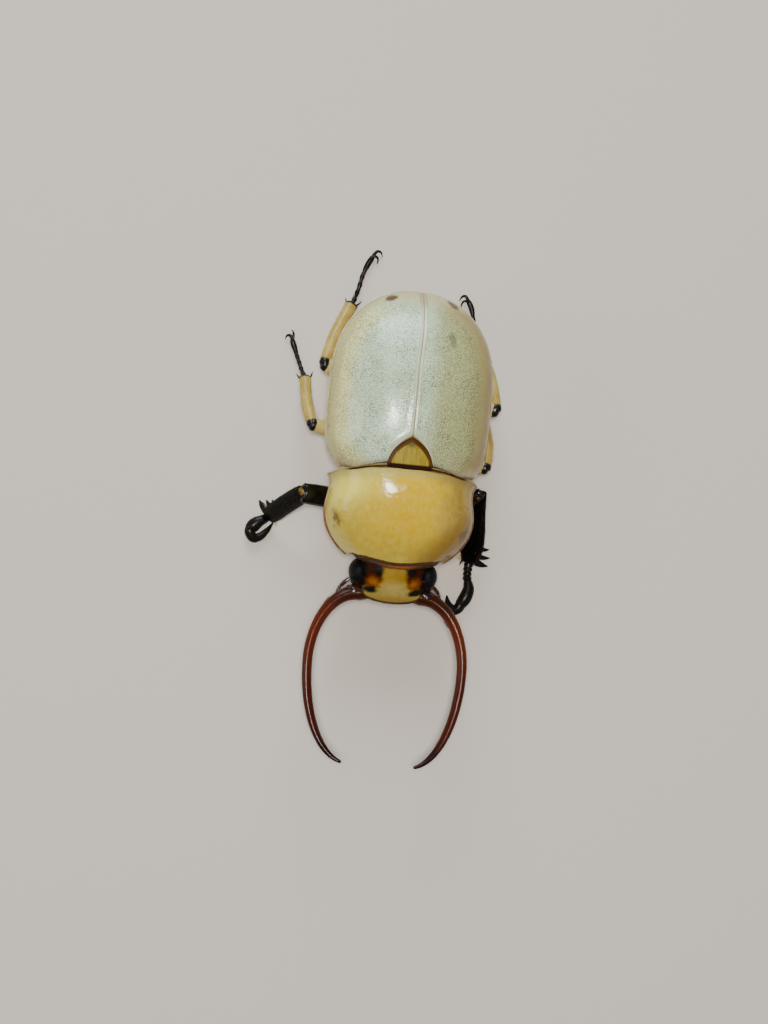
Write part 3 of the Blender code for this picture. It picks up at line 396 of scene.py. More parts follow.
class Finish:
    # one material and its nodes; look holds its colours and other values by name
    usual = {"roughness": 0.3, "specular": 0.5, "coat": 0.0, "coatRoughness": 0.1, "subsurface": 0.0}

    def __init__(self, name, look):
        self.look = {**self.usual, **look}
        self.material = bpy.data.materials.new(name)
        self.material.use_nodes = True
        self.tree = self.material.node_tree
        self.shader = self.tree.nodes["Principled BSDF"]
        self.shader.inputs["Roughness"].default_value = self.look["roughness"]
        self.shader.inputs["Specular IOR Level"].default_value = self.look["specular"]
        self.shader.inputs["Coat Weight"].default_value = self.look["coat"]
        self.shader.inputs["Coat Roughness"].default_value = self.look["coatRoughness"]
        self.shader.inputs["Subsurface Weight"].default_value = self.look["subsurface"]
        self.shader.inputs["Subsurface Scale"].default_value = 0.4 * mm
        self.spot = None
        self.colour = None

    def add(self, kind, settings=None, values=None, out=0):
        node = self.tree.nodes.new("ShaderNode" + kind)
        for key, value in (settings or {}).items():
            setattr(node, key, value)
        for key, value in (values or {}).items():
            if isinstance(value, Wire):
                self.tree.links.new(value.socket, node.inputs[key])
            else:
                node.inputs[key].default_value = value
        return Wire(self, node.outputs[out])

    def body(self):
        # the place on the beetle, in its own millimetres
        if self.spot is None:
            coords = self.add("TexCoord", out=3)
            shift = (-midX / mm, -baseY / mm, 0)
            size = (1 / mm, 1 / mm, 1 / mm)
            self.spot = self.add("Mapping", values={"Vector": coords, "Location": shift, "Scale": size})
        return self.spot

    def axis(self, name):
        return self.add("SeparateXYZ", values={0: self.body()}, out="xyz".index(name))

    def reach(self, name):
        # the number that mark() stored on the piece
        return self.add("Attribute", {"attribute_name": name}, out=2)

    def noise(self, scale, detail=2.0, stretch=None):
        vector = self.body()
        if stretch:
            vector = self.add("Mapping", values={"Vector": vector, "Scale": stretch})
        return self.add("TexNoise", values={"Vector": vector, "Scale": scale, "Detail": detail})

    def cells(self, scale, feature="F1", stretch=None, jitter=1.0, turn=0.0):
        vector = self.body()
        if turn:
            vector = self.add("Mapping", values={"Vector": vector, "Rotation": (0, 0, turn)})
        if stretch:
            vector = self.add("Mapping", values={"Vector": vector, "Scale": stretch})
        values = {"Vector": vector, "Scale": scale, "Randomness": jitter}
        return self.add("TexVoronoi", {"feature": feature}, values)

    def ease(self, value, low, high):
        return self.add("MapRange", {"interpolation_type": "SMOOTHSTEP"},
                        {"Value": value, "From Min": low, "From Max": high, "To Min": 0.0, "To Max": 1.0})

    def patch(self, centre, radii, soft=0.3, turn=0.0, wobble=0.0):
        # 1 inside an ellipsoid of these radii, fading to 0 over its edge, which wobble makes ragged
        vector = self.body()
        if wobble:
            drift = self.add("TexNoise", values={"Vector": vector, "Scale": 2.4, "Detail": 4.0}, out=1)
            drift = self.add("VectorMath", {"operation": "SUBTRACT"}, {0: drift, 1: (0.5, 0.5, 0.5)})
            drift = self.add("VectorMath", {"operation": "SCALE"}, {0: drift, "Scale": wobble})
            vector = self.add("VectorMath", {"operation": "ADD"}, {0: vector, 1: drift})
        vector = self.add("Mapping", {"vector_type": "TEXTURE"},
                          {"Vector": vector, "Location": centre, "Rotation": (0, 0, turn), "Scale": radii})
        far = self.add("VectorMath", {"operation": "LENGTH"}, {0: vector}, out=1)
        return 1 - self.ease(far, 1 - soft, 1 + soft)

    def tint(self, mask, *colours):
        # mixes two colours, each a wire or the look's name for it
        first, second = (c if isinstance(c, Wire) else (*self.look[c], 1) for c in colours)
        return self.add("Mix", {"data_type": "RGBA"}, {0: mask, 6: first, 7: second}, out=2)

    def clouds(self, low, high, *noise):
        return self.ease(self.noise(*noise), low, high)

    def mottle(self, *clouds):
        # the ground: the look's first and second colours, mixed by clouds
        self.colour = self.tint(self.clouds(*clouds), "first", "second")

    def over(self, mask, colour):
        # lays one more colour over those so far
        self.colour = self.tint(mask, self.colour, colour)

    def rough(self, value):
        self.tree.links.new(value.socket, self.shader.inputs["Roughness"])

    def made(self, height, depth):
        # links the colour and the relief, whose depth is in millimetres
        self.tree.links.new(self.colour.socket, self.shader.inputs["Base Color"])
        normal = self.add("Bump", values={"Height": height, "Distance": depth * mm, "Strength": 1.0})
        self.tree.links.new(normal.socket, self.shader.inputs["Normal"])
        return self.material


# Camera, floor and light

view = {
    "distance": 180.0,  # from the lens to the beetle
    "pixelsPerMm": 12.0,  # at the wing case margins
    "imageHeight": 1024,
    "leanTowardsRightSide": math.radians(6.5),
    "roll": math.radians(5.47),
    "centre": (-1.24, -3.61, 5.2),  # the point of the beetle's frame in the middle of the image
    "sensorHeight": 24.0,
    "nearest": 0.005,
}

lights = {
    # place in millimetres, size, power, colour
    "key": ((-42, 8, 370), 58, 1.26, (1.0, 0.985, 0.95)),
    "tail": ((-64, 412, 200), 270, 2.25, (0.76, 0.92, 1.0)),
    "side": ((-380, -20, 190), 200, 0.26, (1.0, 1.0, 0.96)),
    "fill": ((250, -140, 250), 220, 0.08, (1.0, 0.90, 0.78)),
}

room = {
    "lightsAim": (0, -2, 4),  # in the beetle's frame
    "air": (1.0, 0.97, 0.93),
    "airStrength": 0.11,
    "floorSize": 8.0,
    "floor": (0.62, 0.545, 0.475),
    "roughness": 0.75,
}


def toWorld(x, y, z):
    return Vector((midX + x * mm, baseY + y * mm, z * mm))


def makeCamera():
    lean, turn = view["leanTowardsRightSide"], view["roll"]
    forward = Vector((math.sin(lean), 0, -math.cos(lean)))
    up = Vector((0, 1, 0))
    right = forward.cross(up)
    imageRight = math.cos(turn) * right + math.sin(turn) * up
    imageUp = math.cos(turn) * up - math.sin(turn) * right
    data = bpy.data.cameras.new("camera")
    data.sensor_fit = "VERTICAL"
    data.sensor_height = view["sensorHeight"]
    data.lens = view["sensorHeight"] * view["pixelsPerMm"] * view["distance"] / view["imageHeight"]
    data.clip_start = view["nearest"]
    camera = addObject("camera", data)
    spot = toWorld(*view["centre"]) - forward * view["distance"] * mm
    turned = Matrix((imageRight, imageUp, -forward)).transposed().to_4x4()
    camera.matrix_world = Matrix.Translation(spot) @ turned
    bpy.context.scene.camera = camera


def makeLight():
    for name, (spot, size, watts, colour) in lights.items():
        data = bpy.data.lights.new(name, "AREA")
        data.shape = "DISK"
        data.energy = watts
        data.size = size * mm
        data.color = colour
        lamp = addObject(name, data)
        lamp.location = toWorld(*spot)
        way = toWorld(*room["lightsAim"]) - lamp.location
        lamp.rotation_euler = way.to_track_quat("-Z", "Y").to_euler()
    world = bpy.data.worlds.new("room")
    bpy.context.scene.world = world
    world.use_nodes = True
    air = world.node_tree.nodes["Background"]
    air.inputs["Color"].default_value = (*room["air"], 1)
    air.inputs["Strength"].default_value = room["airStrength"]


def makeFloor():
    deselect()
    bpy.ops.mesh.primitive_plane_add(size=room["floorSize"], location=(0, 0, 0))
    floor = bpy.context.object
    floor.name = "floor"
    pale = Finish("paleFloor", room)
    pale.shader.inputs["Base Color"].default_value = (*room["floor"], 1)
    floor.data.materials.append(pale.material)


makeCamera()
makeLight()
makeFloor()
print("camera, light and floor are set")


# Finishes

wingLook = {
    "specular": 0.54,
    "gloss": 0.168,
    "seamGloss": 0.09,  # how much smoother it is beside the seam
    "first": (0.53, 0.67, 0.425),
    "second": (0.65, 0.79, 0.55),
    # painted shade: the left case darker and yellower, as the side away from the light
    "leftShade": (0.37, 0.355, 0.105),
    "rightBand": (0.84, 0.765, 0.28),
    "margin": (0.56, 0.48, 0.165),
    # painted shade: a darker band and a darker rim along the left case's margin
    "leftMarginShade": (0.33, 0.255, 0.070),
    "leftEdgeInShade": (0.26, 0.155, 0.040),
    # partly the case's own tan, partly painted shade and a painted warm reflection from below
    "lowEdgeTanAndShade": (0.42, 0.30, 0.12),
    "tail": (0.52, 0.46, 0.24),
    "base": (0.50, 0.43, 0.24),
    "paleGrain": (0.68, 0.69, 0.46),
    "grain": (0.100, 0.108, 0.085),
    "coarseGrain": (0.13, 0.14, 0.10),
    "seamStrip": (0.53, 0.50, 0.34),
    "seamSide": (0.24, 0.19, 0.10),
    "seam": (0.28, 0.17, 0.06),
    "seamTail": (0.33, 0.23, 0.10),
    "tailSpots": [((-2.38, 14.10, 5.6), 0.42), ((2.80, 14.02, 5.6), -0.66)],  # place and turn
    "tailSpot": (0.125, 0.052, 0.001),
    "tailSpotCore": (0.058, 0.021, 0.001),
    "greyMark": (0.05, 0.06, 0.05),
}


def wingFinish():
    f = Finish("wingCase", wingLook)
    x, y, z = map(f.axis, "xyz")
    rim = f.reach("rim") + f.noise(0.8, 3.0) * 0.7 - 0.35  # distance from the outer margin
    seam = f.reach("seam")  # distance from the seam and from the small shield
    left = f.ease(x, 0.0, 3.0)
    margin = f.ease(rim, 0.85, 0.35)
    hind = f.ease(y + f.noise(0.9) * 0.8, 13.6, 14.6)
    f.mottle(0.35, 0.65, 0.35, 3.0)
    # painted shade over the left case, which lies away from the light
    f.over(f.ease(x, 0.0, 2.5) * 0.90, "leftShade")
    f.over(f.ease(rim, 2.2, 1.0) * f.ease(x, 0.0, -1.0) * f.ease(y, 14.0, 12.0) * 0.9, "rightBand")
    f.over(margin * 0.9, "margin")
    # painted shade along the left margin, darkest at the rim
    f.over(f.ease(rim, 2.9, 1.4) * left * 0.7, "leftMarginShade")
    f.over(f.ease(rim, 1.5, 0.4) * left * 0.75, "leftEdgeInShade")
    # tan along the low edge: partly its own colour, partly painted shade and painted reflection from below
    f.over(f.ease(z, 5.85, 5.0) * 0.8, "lowEdgeTanAndShade")
    f.over(hind * 0.8, "tail")
    f.over(f.ease(y + f.noise(0.8) * 0.6, 1.3, 0.1) * 0.8, "base")
    # the fine pitting, weaker along the edges and the seam
    fine = f.noise(12.5, 1.0)
    grain = f.ease(fine, 0.48, 0.59)
    coarse = f.clouds(0.50, 0.66, 5.0)
    bare = (1 - margin * 0.2) * (1 - hind * 0.6) * (1 - f.ease(seam, 0.40, 0.22) * 0.9)
    bare = bare * (1 - f.ease(rim, 1.7, 0.9) * left * 0.85)
    strength = 0.55 + f.clouds(0.3, 0.7, 0.6, 3.0) * 0.45
    f.over(f.ease(fine, 0.47, 0.38) * bare * 0.30, "paleGrain")
    f.over(grain * bare * strength * 0.9, "grain")
    f.over(coarse * bare * 0.17, "coarseGrain")
    f.over(f.ease(abs(seam - 0.15), 0.12, 0.06) * 0.55, "seamStrip")
    f.over(f.ease(abs(seam - 0.27), 0.05, 0.02) * 0.5, "seamSide")
    f.over(f.ease(seam, 0.07, 0.03) * 0.8, "seam")
    f.over(f.ease(seam, 0.45, 0.15) * f.ease(y, 13.0, 14.2) * 0.6, "seamTail")
    for centre, turn in wingLook["tailSpots"]:
        f.over(f.patch(centre, (0.56, 0.27, 1.8), 0.35, turn, 0.3), "tailSpot")
        f.over(f.patch(centre, (0.42, 0.15, 1.8), 0.6, turn, 0.3) * 0.8, "tailSpotCore")
    f.over(f.patch((2.72, 10.9, 8.0), (0.26, 0.62, 3.0), 0.5, 0.25, 0.5) * 0.55, "greyMark")
    shine = f.ease(seam, 0.62, 0.42) * f.ease(y, 9.0, 6.5)
    f.rough(wingLook["gloss"] - shine * wingLook["seamGloss"])
    height = f.noise(0.8) * 0.4 - grain * 0.16 - coarse * 0.10 + f.noise(9.0, 1.0) * shine * 0.45
    return f.made(height, 0.035)


shieldLook = {
    "specular": 0.45,
    "gloss": 0.135,
    "frontDullness": 0.45,  # how much rougher the dark front band is
    "margin": (0.46, 0.335, 0.040),
    "middle": (0.66, 0.40, 0.006),
    "veins": (0.62, 0.48, 0.08),
    "clouds": (0.42, 0.235, 0.012),
    "rightSlope": (0.63, 0.53, 0.13),
    "rightPool": (0.84, 0.69, 0.095),
    # painted shade on the shield's left side, away from the light
    "leftShade": (0.365, 0.220, 0.048),
    # partly brown smears, partly painted shade: kept to the shaded left side
    "leftShadeClouds": (0.20, 0.10, 0.018),
    # painted shade on the front left slope
    "leftCornerShade": (0.205, 0.112, 0.026),
    "hindRight": (0.44, 0.37, 0.115),
    # painted shade: the hind edge darker on the left
    "hindLeftShade": (0.27, 0.20, 0.06),
    # the left side's pale low edge, laid over the painted shade there
    "leftEdgeInShade": (0.48, 0.38, 0.115),
    "streaks": (0.66, 0.58, 0.20),
    # partly its own brown, partly painted shadow along the hind edge
    "hindLineAndShadow": (0.055, 0.026, 0.014),
    "smudges": [((-5.35, -4.45, 7.0), 0.35), ((5.35, -4.95, 7.0), -0.35)],  # place and turn
    "smudge": (0.09, 0.045, 0.010),
    "frontBand": (0.052, 0.021, 0.004),
    # painted shade: darker lines along the folds
    "folds": (0.26, 0.14, 0.02),
}


def shieldFinish():
    f = Finish("shield", shieldLook)
    x, y, z = map(f.axis, "xyz")
    # where shade is painted: the shield's left side
    leftShadeMask = f.ease(x + f.noise(0.7, 3.0) * 1.6 - 0.8, 2.0, 5.2)
    middle = f.ease(abs(x - 0.6) + f.noise(0.5) * 2.2 - 1.1, 5.2, 1.2)
    f.colour = f.tint(middle * f.ease(y, -7.6, -4.4), "margin", "middle")
    f.over(f.clouds(0.38, 0.74, 1.7, 8.0) * 0.45, "veins")
    f.over(f.clouds(0.44, 0.78, 3.0, 8.0, (1.2, 0.8, 1.0)) * 0.4, "clouds")
    f.over(f.ease(z, 8.3, 6.0) * f.ease(x, 2.0, -2.0) * 0.75, "rightSlope")
    f.over(f.patch((-4.3, -1.75, 7.6), (2.2, 1.35, 2.6), 0.75, 0.3, 0.8) * 0.8, "rightPool")
    # painted shade over the left side
    f.over(leftShadeMask * 0.75, "leftShade")
    # brown clouds, partly its own smears, partly painted shade of the left side
    f.over(leftShadeMask * f.clouds(0.42, 0.62, 1.5, 6.0, (1.0, 0.5, 1.0)) * 0.45, "leftShadeClouds")
    # painted shade on the front left slope, which faces away from the light
    f.over(f.ease(y - x * 0.9, -6.6, -9.6) * f.ease(x, 0.0, 2.0) * 0.75, "leftCornerShade")
    hind = f.ease(y + abs(x) * 0.10 + f.noise(0.9) * 0.5, -0.75, 0.15)
    # the hind edge's own colour on the right, darkened on the left as painted shade
    f.over(hind * 0.7, f.tint(f.ease(x, 0.5, 3.0), "hindRight", "hindLeftShade"))
    # the left side's pale low edge, laid over the painted shade there
    f.over(f.ease(z, 6.7, 5.7) * f.ease(x, 0.0, 3.0) * 0.8, "leftEdgeInShade")
    streaks = f.clouds(0.48, 0.72, 1.9, 5.0, (2.0, 0.9, 1.0))
    f.over(streaks * f.ease(x, 1.0, -3.0) * f.ease(y, -5.0, -2.5) * 0.32, "streaks")
    # dark line along the middle of the hind edge: partly its own brown, partly painted shadow
    f.over(f.ease(y + abs(x) * 0.12, 0.12, 0.30) * f.ease(abs(x), 3.4, 2.2) * 0.9, "hindLineAndShadow")
    for centre, turn in shieldLook["smudges"]:
        f.over(f.patch(centre, (0.30, 0.66, 1.8), 0.6, turn, 1.3) * 0.8, "smudge")
    band = f.ease(f.reach("front") - f.noise(9.0, 1.0) * 0.14, 0.54, 0.45) * f.ease(abs(x), 3.86, 3.66)
    f.over(band, "frontBand")
    folds = f.cells(2.3, "SMOOTH_F1", (1.0, 3.4, 1.0), turn=0.6)
    folds = folds * f.patch((4.5, -2.8, 7.6), (1.1, 1.2, 2.5), 0.6)
    # painted shade that marks the creases of the folds
    f.over(f.ease(folds, 0.30, 0.55) * 0.4, "folds")
    f.rough(shieldLook["gloss"] + band * shieldLook["frontDullness"])
    return f.made(f.noise(1.3, 3.0) * 0.8 + f.noise(4.0, 3.0) * 0.30 + folds * 1.2, 0.04)


rimLook = {
    "roughness": 0.36, "coat": 0.08, "specular": 0.3,
    "first": (0.22, 0.085, 0.020),
    "second": (0.12, 0.045, 0.012),
    "cream": (0.38, 0.28, 0.12),
}


def rimFinish():
    # the shield's side edges: amber in front and cream behind
    f = Finish("amberRim", rimLook)
    y = f.axis("y")
    f.mottle(0.35, 0.65, 1.1)
    f.over(f.ease(y, -4.2, -2.6), "cream")
    return f.made(f.noise(6.0), 0.01)


darkRimLook = {
    "roughness": 0.5, "specular": 0.14,
    "first": (0.022, 0.009, 0.004),
    "second": (0.050, 0.018, 0.006),
    "glow": (0.20, 0.058, 0.006),
    "cream": (0.38, 0.28, 0.12),
}


def darkRimFinish():
    # the shield's front and hind edges, and those of the small shield and the face; along the hind edge its
    # dark brown is partly painted shadow
    f = Finish("darkRim", darkRimLook)
    x, y = map(f.axis, "xy")
    f.mottle(0.3, 0.7, 2.0)
    glow = f.ease(abs(x - 0.2) + f.noise(1.5), 2.6, 0.8) * f.ease(y, -6.0, -7.0) * f.ease(y, -9.0, -8.6)
    f.over(glow * 0.85, "glow")
    f.over(f.ease(abs(x), 4.6, 5.4) * f.ease(y, -3.0, -2.0), "cream")
    return f.made(f.noise(8.0, 3.0), 0.015)


scutellumLook = {
    "roughness": 0.4, "specular": 0.04,
    "first": (0.245, 0.168, 0.014),
    "second": (0.31, 0.235, 0.030),
    "border": (0.080, 0.030, 0.002),
    "edge": (0.045, 0.015, 0.003),
    "tip": (0.05, 0.03, 0.014),
    # painted shadow where the small shield runs under the shield's hind edge
    "base": (0.030, 0.012, 0.008),
}


def scutellumFinish():
    f = Finish("scutellum", scutellumLook)
    y = f.axis("y")
    edge = f.reach("edge") - f.ease(y, 0.9, 2.4) * 0.22 + f.noise(2.5) * 0.10
    f.mottle(0.35, 0.65, 2.2, 4.0, (3, 0.35, 1))
    f.over(f.ease(edge, 0.36, 0.24), "border")
    f.over(f.ease(edge, 0.15, 0.02) * 0.6, "edge")
    f.over(f.patch((0, 2.1, 9.8), (0.45, 0.32, 1), 0.5, 0, 0.4) * 0.7, "tip")
    # painted shadow where the small shield runs under the shield's hind edge
    f.over(f.ease(y, 0.50, 0.36), "base")
    return f.made(f.noise(2.0, 3.0, (2, 0.6, 1)), 0.02)


headLook = {
    "roughness": 0.46, "specular": 0.06,
    "first": (0.27, 0.150, 0.009),
    "second": (0.31, 0.195, 0.020),
    "clypeus": (0.325, 0.235, 0.052),
    "clypeusMiddle": (0.42, 0.335, 0.105),
    "clypeusClouds": (0.25, 0.165, 0.032),
    # painted shade: the clypeus darker where it slopes down at the front
    "clypeusFrontShade": (0.20, 0.122, 0.024),
    "sideBrown": (0.155, 0.058, 0.006),
    "sideDark": (0.034, 0.0075, 0.002),
    "orange": (0.22, 0.050, 0.002),
    "orangeCore": (0.34, 0.125, 0.010),
    "crownSpot": (0.005, 0.003, 0.002),
    "clypeusSpot": (0.009, 0.008, 0.005),
    "farSide": (0.006, 0.004, 0.003),
    "below": (0.012, 0.007, 0.005),
}


def headFinish():
    f = Finish("head", headLook)
    x, y, z = map(f.axis, "xyz")
    wave = f.noise(1.7, 4.0) * 0.9 - 0.45
    side = abs(x) + wave
    pale = f.ease(y, -9.2, -10.3)
    f.mottle(0.3, 0.7, 0.9, 4.0)
    f.over(pale * 0.9, "clypeus")
    f.over(f.patch((0.05, -9.9, 6.0), (1.0, 0.55, 2), 0.9, 0, 0.6) * 0.6, "clypeusMiddle")
    f.over(pale * f.clouds(0.45, 0.65, 2.4, 4.0) * 0.4, "clypeusClouds")
    # painted shade where the clypeus slopes down at the front
    f.over(f.ease(y, -10.35, -10.8) * 0.65, "clypeusFrontShade")
    brown = f.ease(side, 0.72, 1.50) * f.ease(y + wave * 0.7, -10.15, -9.55)
    f.over(f.ease(brown, 0.0, 0.5) * 0.8, "sideBrown")
    f.over(f.ease(brown, 0.35, 1.0), "sideDark")
    glow = 0.45 + f.clouds(0.30, 0.62, 3.2, 4.0) * 0.45
    for k in sideNames:
        f.over(f.patch((1.76 * k, -9.40, 6.2), (0.56, 0.42, 2), 0.7, 0.5 * k, 0.6) * glow, "orange")
        f.over(f.patch((1.66 * k, -9.42, 6.2), (0.32, 0.24, 2), 0.9, 0.5 * k, 0.3) * 0.6, "orangeCore")
        f.over(f.patch((1.36 * k, -8.42, 6.5), (0.44, 0.42, 2), 0.65, 0, 0.6), "crownSpot")
        f.over(f.patch((1.90 * k, -10.09, 5.9), (0.60, 0.29, 2), 0.4, 0.13 + 0.2 * k, 0.34), "clypeusSpot")
    f.over(f.ease(side, 2.15, 2.5) * f.ease(y, -10.45, -10.1), "farSide")
    f.over(f.ease(z, 4.75, 4.35), "below")
    return f.made(f.ease(f.cells(6.0), 0.0, 0.25) * 0.5 + f.noise(2.5, 3.0) * 0.4, 0.025)


jawLook = {
    "roughness": 0.22, "specular": 0.16,
    "first": (0.070, 0.010, 0.003),
    "second": (0.105, 0.017, 0.004),
    "outerHalf": (0.035, 0.005, 0.003),
    "tip": (0.010, 0.003, 0.002),
    "root": (0.030, 0.007, 0.003),
}


def jawFinish():
    f = Finish("jaw", jawLook)
    y = f.axis("y")
    f.mottle(0.3, 0.7, 0.6, 3.0, (1, 0.3, 1))
    f.over(f.ease(y, -14.0, -18.5) * 0.8, "outerHalf")
    f.over(f.ease(y, -21.5, -23.8) * 0.8, "tip")
    f.over(f.ease(y, -12.5, -11.0) * 0.8, "root")
    return f.made(f.noise(3.0, 3.0, (1, 0.4, 1)) * 0.6 + f.noise(9.0) * 0.5, 0.02)


foreLegLook = {
    "roughness": 0.22,
    "first": (0.001, 0.0008, 0.0007),
    "second": (0.003, 0.002, 0.0014),
    "gold": (0.20, 0.110, 0.026),
    # place and radii
    "knees": [((6.72, -1.68, 4.4), (0.15, 0.12, 0.9)), ((-8.30, -2.50, 5.3), (0.21, 0.30, 0.9))],
}


def foreLegFinish(name, specular, depth):
    # granulated, with a golden patch at the knee
    f = Finish(name, {**foreLegLook, "specular": specular})
    f.mottle(0.35, 0.7, 1.2)
    for centre, radii in foreLegLook["knees"]:
        f.over(f.patch(centre, radii, 0.6, 0.2, 0.8) * 0.85, "gold")
    return f.made(f.ease(f.cells(4.6), 0.24, 0.02) + f.noise(3.0) * 0.2, depth)


blackLook = {
    "specular": 0.17,
    "first": (0.004, 0.0035, 0.003),
    "second": (0.010, 0.006, 0.004),
}


def blackFinish():
    f = Finish("black", blackLook)
    f.mottle(0.35, 0.7, 1.2)
    return f.made(f.ease(f.cells(3.4), 0.0, 0.22) * 0.8 + f.noise(5.0) * 0.2, 0.035)


eyeLook = {
    "roughness": 0.5, "specular": 0.14,
    "first": (0.0015, 0.0015, 0.002),
    "second": (0.004, 0.004, 0.005),
}


def eyeFinish():
    f = Finish("eye", eyeLook)
    f.mottle(0.3, 0.7, 1.5)
    facets = f.cells(11.0, jitter=0.25)
    return f.made(1 - f.ease(facets, 0.1, 0.6), 0.015)


pittedLooks = {
    # cloudScale is that of the ground's noise; pits: cell scale, edge from and to, strength
    # relief: cell scale, edge, share; waves: noise scale, share
    # ends: where the piece turns black, as shares of its length
    "paleTail": {
        "roughness": 0.34, "coat": 0.25, "cloudScale": 0.8,
        "first": (0.50, 0.40, 0.16), "second": (0.58, 0.49, 0.22), "pit": (0.17, 0.10, 0.03),
        "pits": (5.0, 0.26, 0.1, 0.5), "relief": (5.0, 0.25, 0.8), "depth": 0.03,
    },
    "belly": {
        "roughness": 0.34, "coat": 0.25, "subsurface": 0.05, "cloudScale": 0.6,
        "first": (0.44, 0.33, 0.12), "second": (0.55, 0.45, 0.19), "pit": (0.16, 0.09, 0.03),
        "pits": (4.0, 0.26, 0.1, 0.45), "relief": (4.0, 0.25, 0.7), "waves": (2.0, 0.3), "depth": 0.03,
    },
    "paleLeg": {
        "roughness": 0.32, "coat": 0.12, "subsurface": 0.05, "specular": 0.3, "cloudScale": 0.9,
        "first": (0.48, 0.355, 0.100), "second": (0.57, 0.45, 0.155), "pit": (0.25, 0.16, 0.05),
        "pits": (5.0, 0.25, 0.1, 0.35), "relief": (4.5, 0.25, 0.6), "waves": (3.0, 0.4), "depth": 0.025,
        "end": (0.004, 0.003, 0.002), "ends": [(0.975, 0.99)], "endWave": 0.04,
    },
    "paleTibia": {
        "roughness": 0.36, "coat": 0.08, "subsurface": 0.05, "specular": 0.25, "cloudScale": 0.9,
        "first": (0.34, 0.222, 0.038), "second": (0.445, 0.32, 0.068), "pit": (0.17, 0.11, 0.035),
        "pits": (4.6, 0.28, 0.10, 0.6), "relief": (4.6, 0.3, 0.8), "stretch": (1, 0.55, 0.55), "depth": 0.04,
        "end": (0.004, 0.003, 0.002), "ends": [(0.08, 0.04), (0.97, 0.99)], "endWave": 0.0,
    },
}


def pittedFinish(name):
    look = pittedLooks[name]
    f = Finish(name, look)
    f.mottle(0.3, 0.7, look["cloudScale"], 3.0)
    scale, start, full, strength = look["pits"]
    f.over(f.ease(f.cells(scale, stretch=look.get("stretch")), start, full) * strength, "pit")
    if "ends" in look:
        along = f.reach("reach") + f.noise(2.0) * look["endWave"]
        for start, full in look["ends"]:
            f.over(f.ease(along, start, full), "end")
    scale, start, share = look["relief"]
    height = f.ease(f.cells(scale, stretch=look.get("stretch")), 0.0, start) * share
    if "waves" in look:
        scale, share = look["waves"]
        height = height + f.noise(scale) * share
    return f.made(height, look["depth"])


hair = {"roughness": 0.45, "mottle": (0.35, 0.65, 3.0), "grain": (20.0,), "depth": 0.004}
plainLooks = {
    # mottle holds the clouds between the two colours, and grain the relief's noise
    "jawRoot": {
        "roughness": 0.28, "coat": 0.18, "first": (0.014, 0.005, 0.004), "second": (0.042, 0.009, 0.005),
        "mottle": (0.3, 0.7, 1.2, 3.0), "grain": (5.0, 3.0), "depth": 0.015,
    },
    "feelerLeaf": {
        "roughness": 0.55, "first": (0.010, 0.007, 0.005), "second": (0.024, 0.014, 0.009),
        "mottle": (0.3, 0.7, 2.0, 3.0), "grain": (18.0,), "depth": 0.012,
    },
    # the bead's own pale colour, made paler as a painted highlight along the rim
    "wingBeadAndHighlight": {
        "coat": 0.25, "first": (0.55, 0.46, 0.28), "second": (0.42, 0.32, 0.17),
        "mottle": (0.35, 0.65, 1.3), "grain": (6.0,), "depth": 0.01,
    },
    "softSkin": {
        "roughness": 0.5, "first": (0.16, 0.10, 0.035), "second": (0.30, 0.20, 0.08),
        "mottle": (0.3, 0.7, 0.9, 3.0), "grain": (3.0, 3.0, (0.6, 3, 1)), "depth": 0.03,
    },
    "goldHair": {"first": (0.42, 0.27, 0.09), "second": (0.60, 0.42, 0.17), **hair},
    "darkHair": {"first": (0.010, 0.006, 0.004), "second": (0.03, 0.016, 0.008), **hair},
}


def plainFinish(name):
    look = plainLooks[name]
    f = Finish(name, look)
    f.mottle(*look["mottle"])
    return f.made(f.noise(*look["grain"]), look["depth"])


wing = wingFinish()
shield = shieldFinish()
amber = rimFinish()
darkRim = darkRimFinish()
scutellumPaint = scutellumFinish()
headPaint = headFinish()
jaw = jawFinish()
foreThigh = foreLegFinish("foreThigh", 0.42, 0.09)
foreShin = foreLegFinish("foreShin", 0.11, 0.13)
black = blackFinish()
eyeBlack = eyeFinish()
paleTail, belly, paleLeg, paleTibia = (pittedFinish(name) for name in pittedLooks)
jawRoot, feelerLeaf, paleBeadAndHighlight, softSkin, goldHair, darkHair = (plainFinish(name) for name in plainLooks)
print("finishes are made")


# The outline of the small shield, which the wing cases follow

scutellumShape = {
    "frontY": -0.15,
    "shoulderY": 0.35,  # where its widest place is
    "tipY": 2.75,
    "halfWidth": 1.8,
    "topZ": 9.78,
    "tipRise": 0.1,
    "tipDip": 0.12,
    "depth": 0.55,
    "rim": 0.07,
    "dome": 0.09,
}


def scutellumShare(y):
    s = scutellumShape
    return (y - s["shoulderY"]) / (s["tipY"] - s["shoulderY"])


def scutellumHalf(y):
    share = min(max(scutellumShare(y), 0), 1)
    return scutellumShape["halfWidth"] * (1 - share ** 1.7) ** 0.75


def scutellumEdge(share):
    # share 0 is the front corner and 1 the tip, of the left half
    s = scutellumShape
    y = s["shoulderY"] + (s["tipY"] - s["shoulderY"]) * share
    return Vector((scutellumHalf(y), y, s["topZ"] + s["tipRise"] * share - s["tipDip"] * share ** 4))


scutellumOutline = [scutellumEdge(k / 18) for k in range(19)]
shieldSide = edgeDistance(scutellumOutline, flat=True)


def lumps(shapes, x, y):
    # shallow lumps and hollows; each is (height, x, y, half width, half length)
    return sum(high * bell(x - atX, wide) * bell(y - atY, long) for high, atX, atY, wide, long in shapes)


# Wing cases

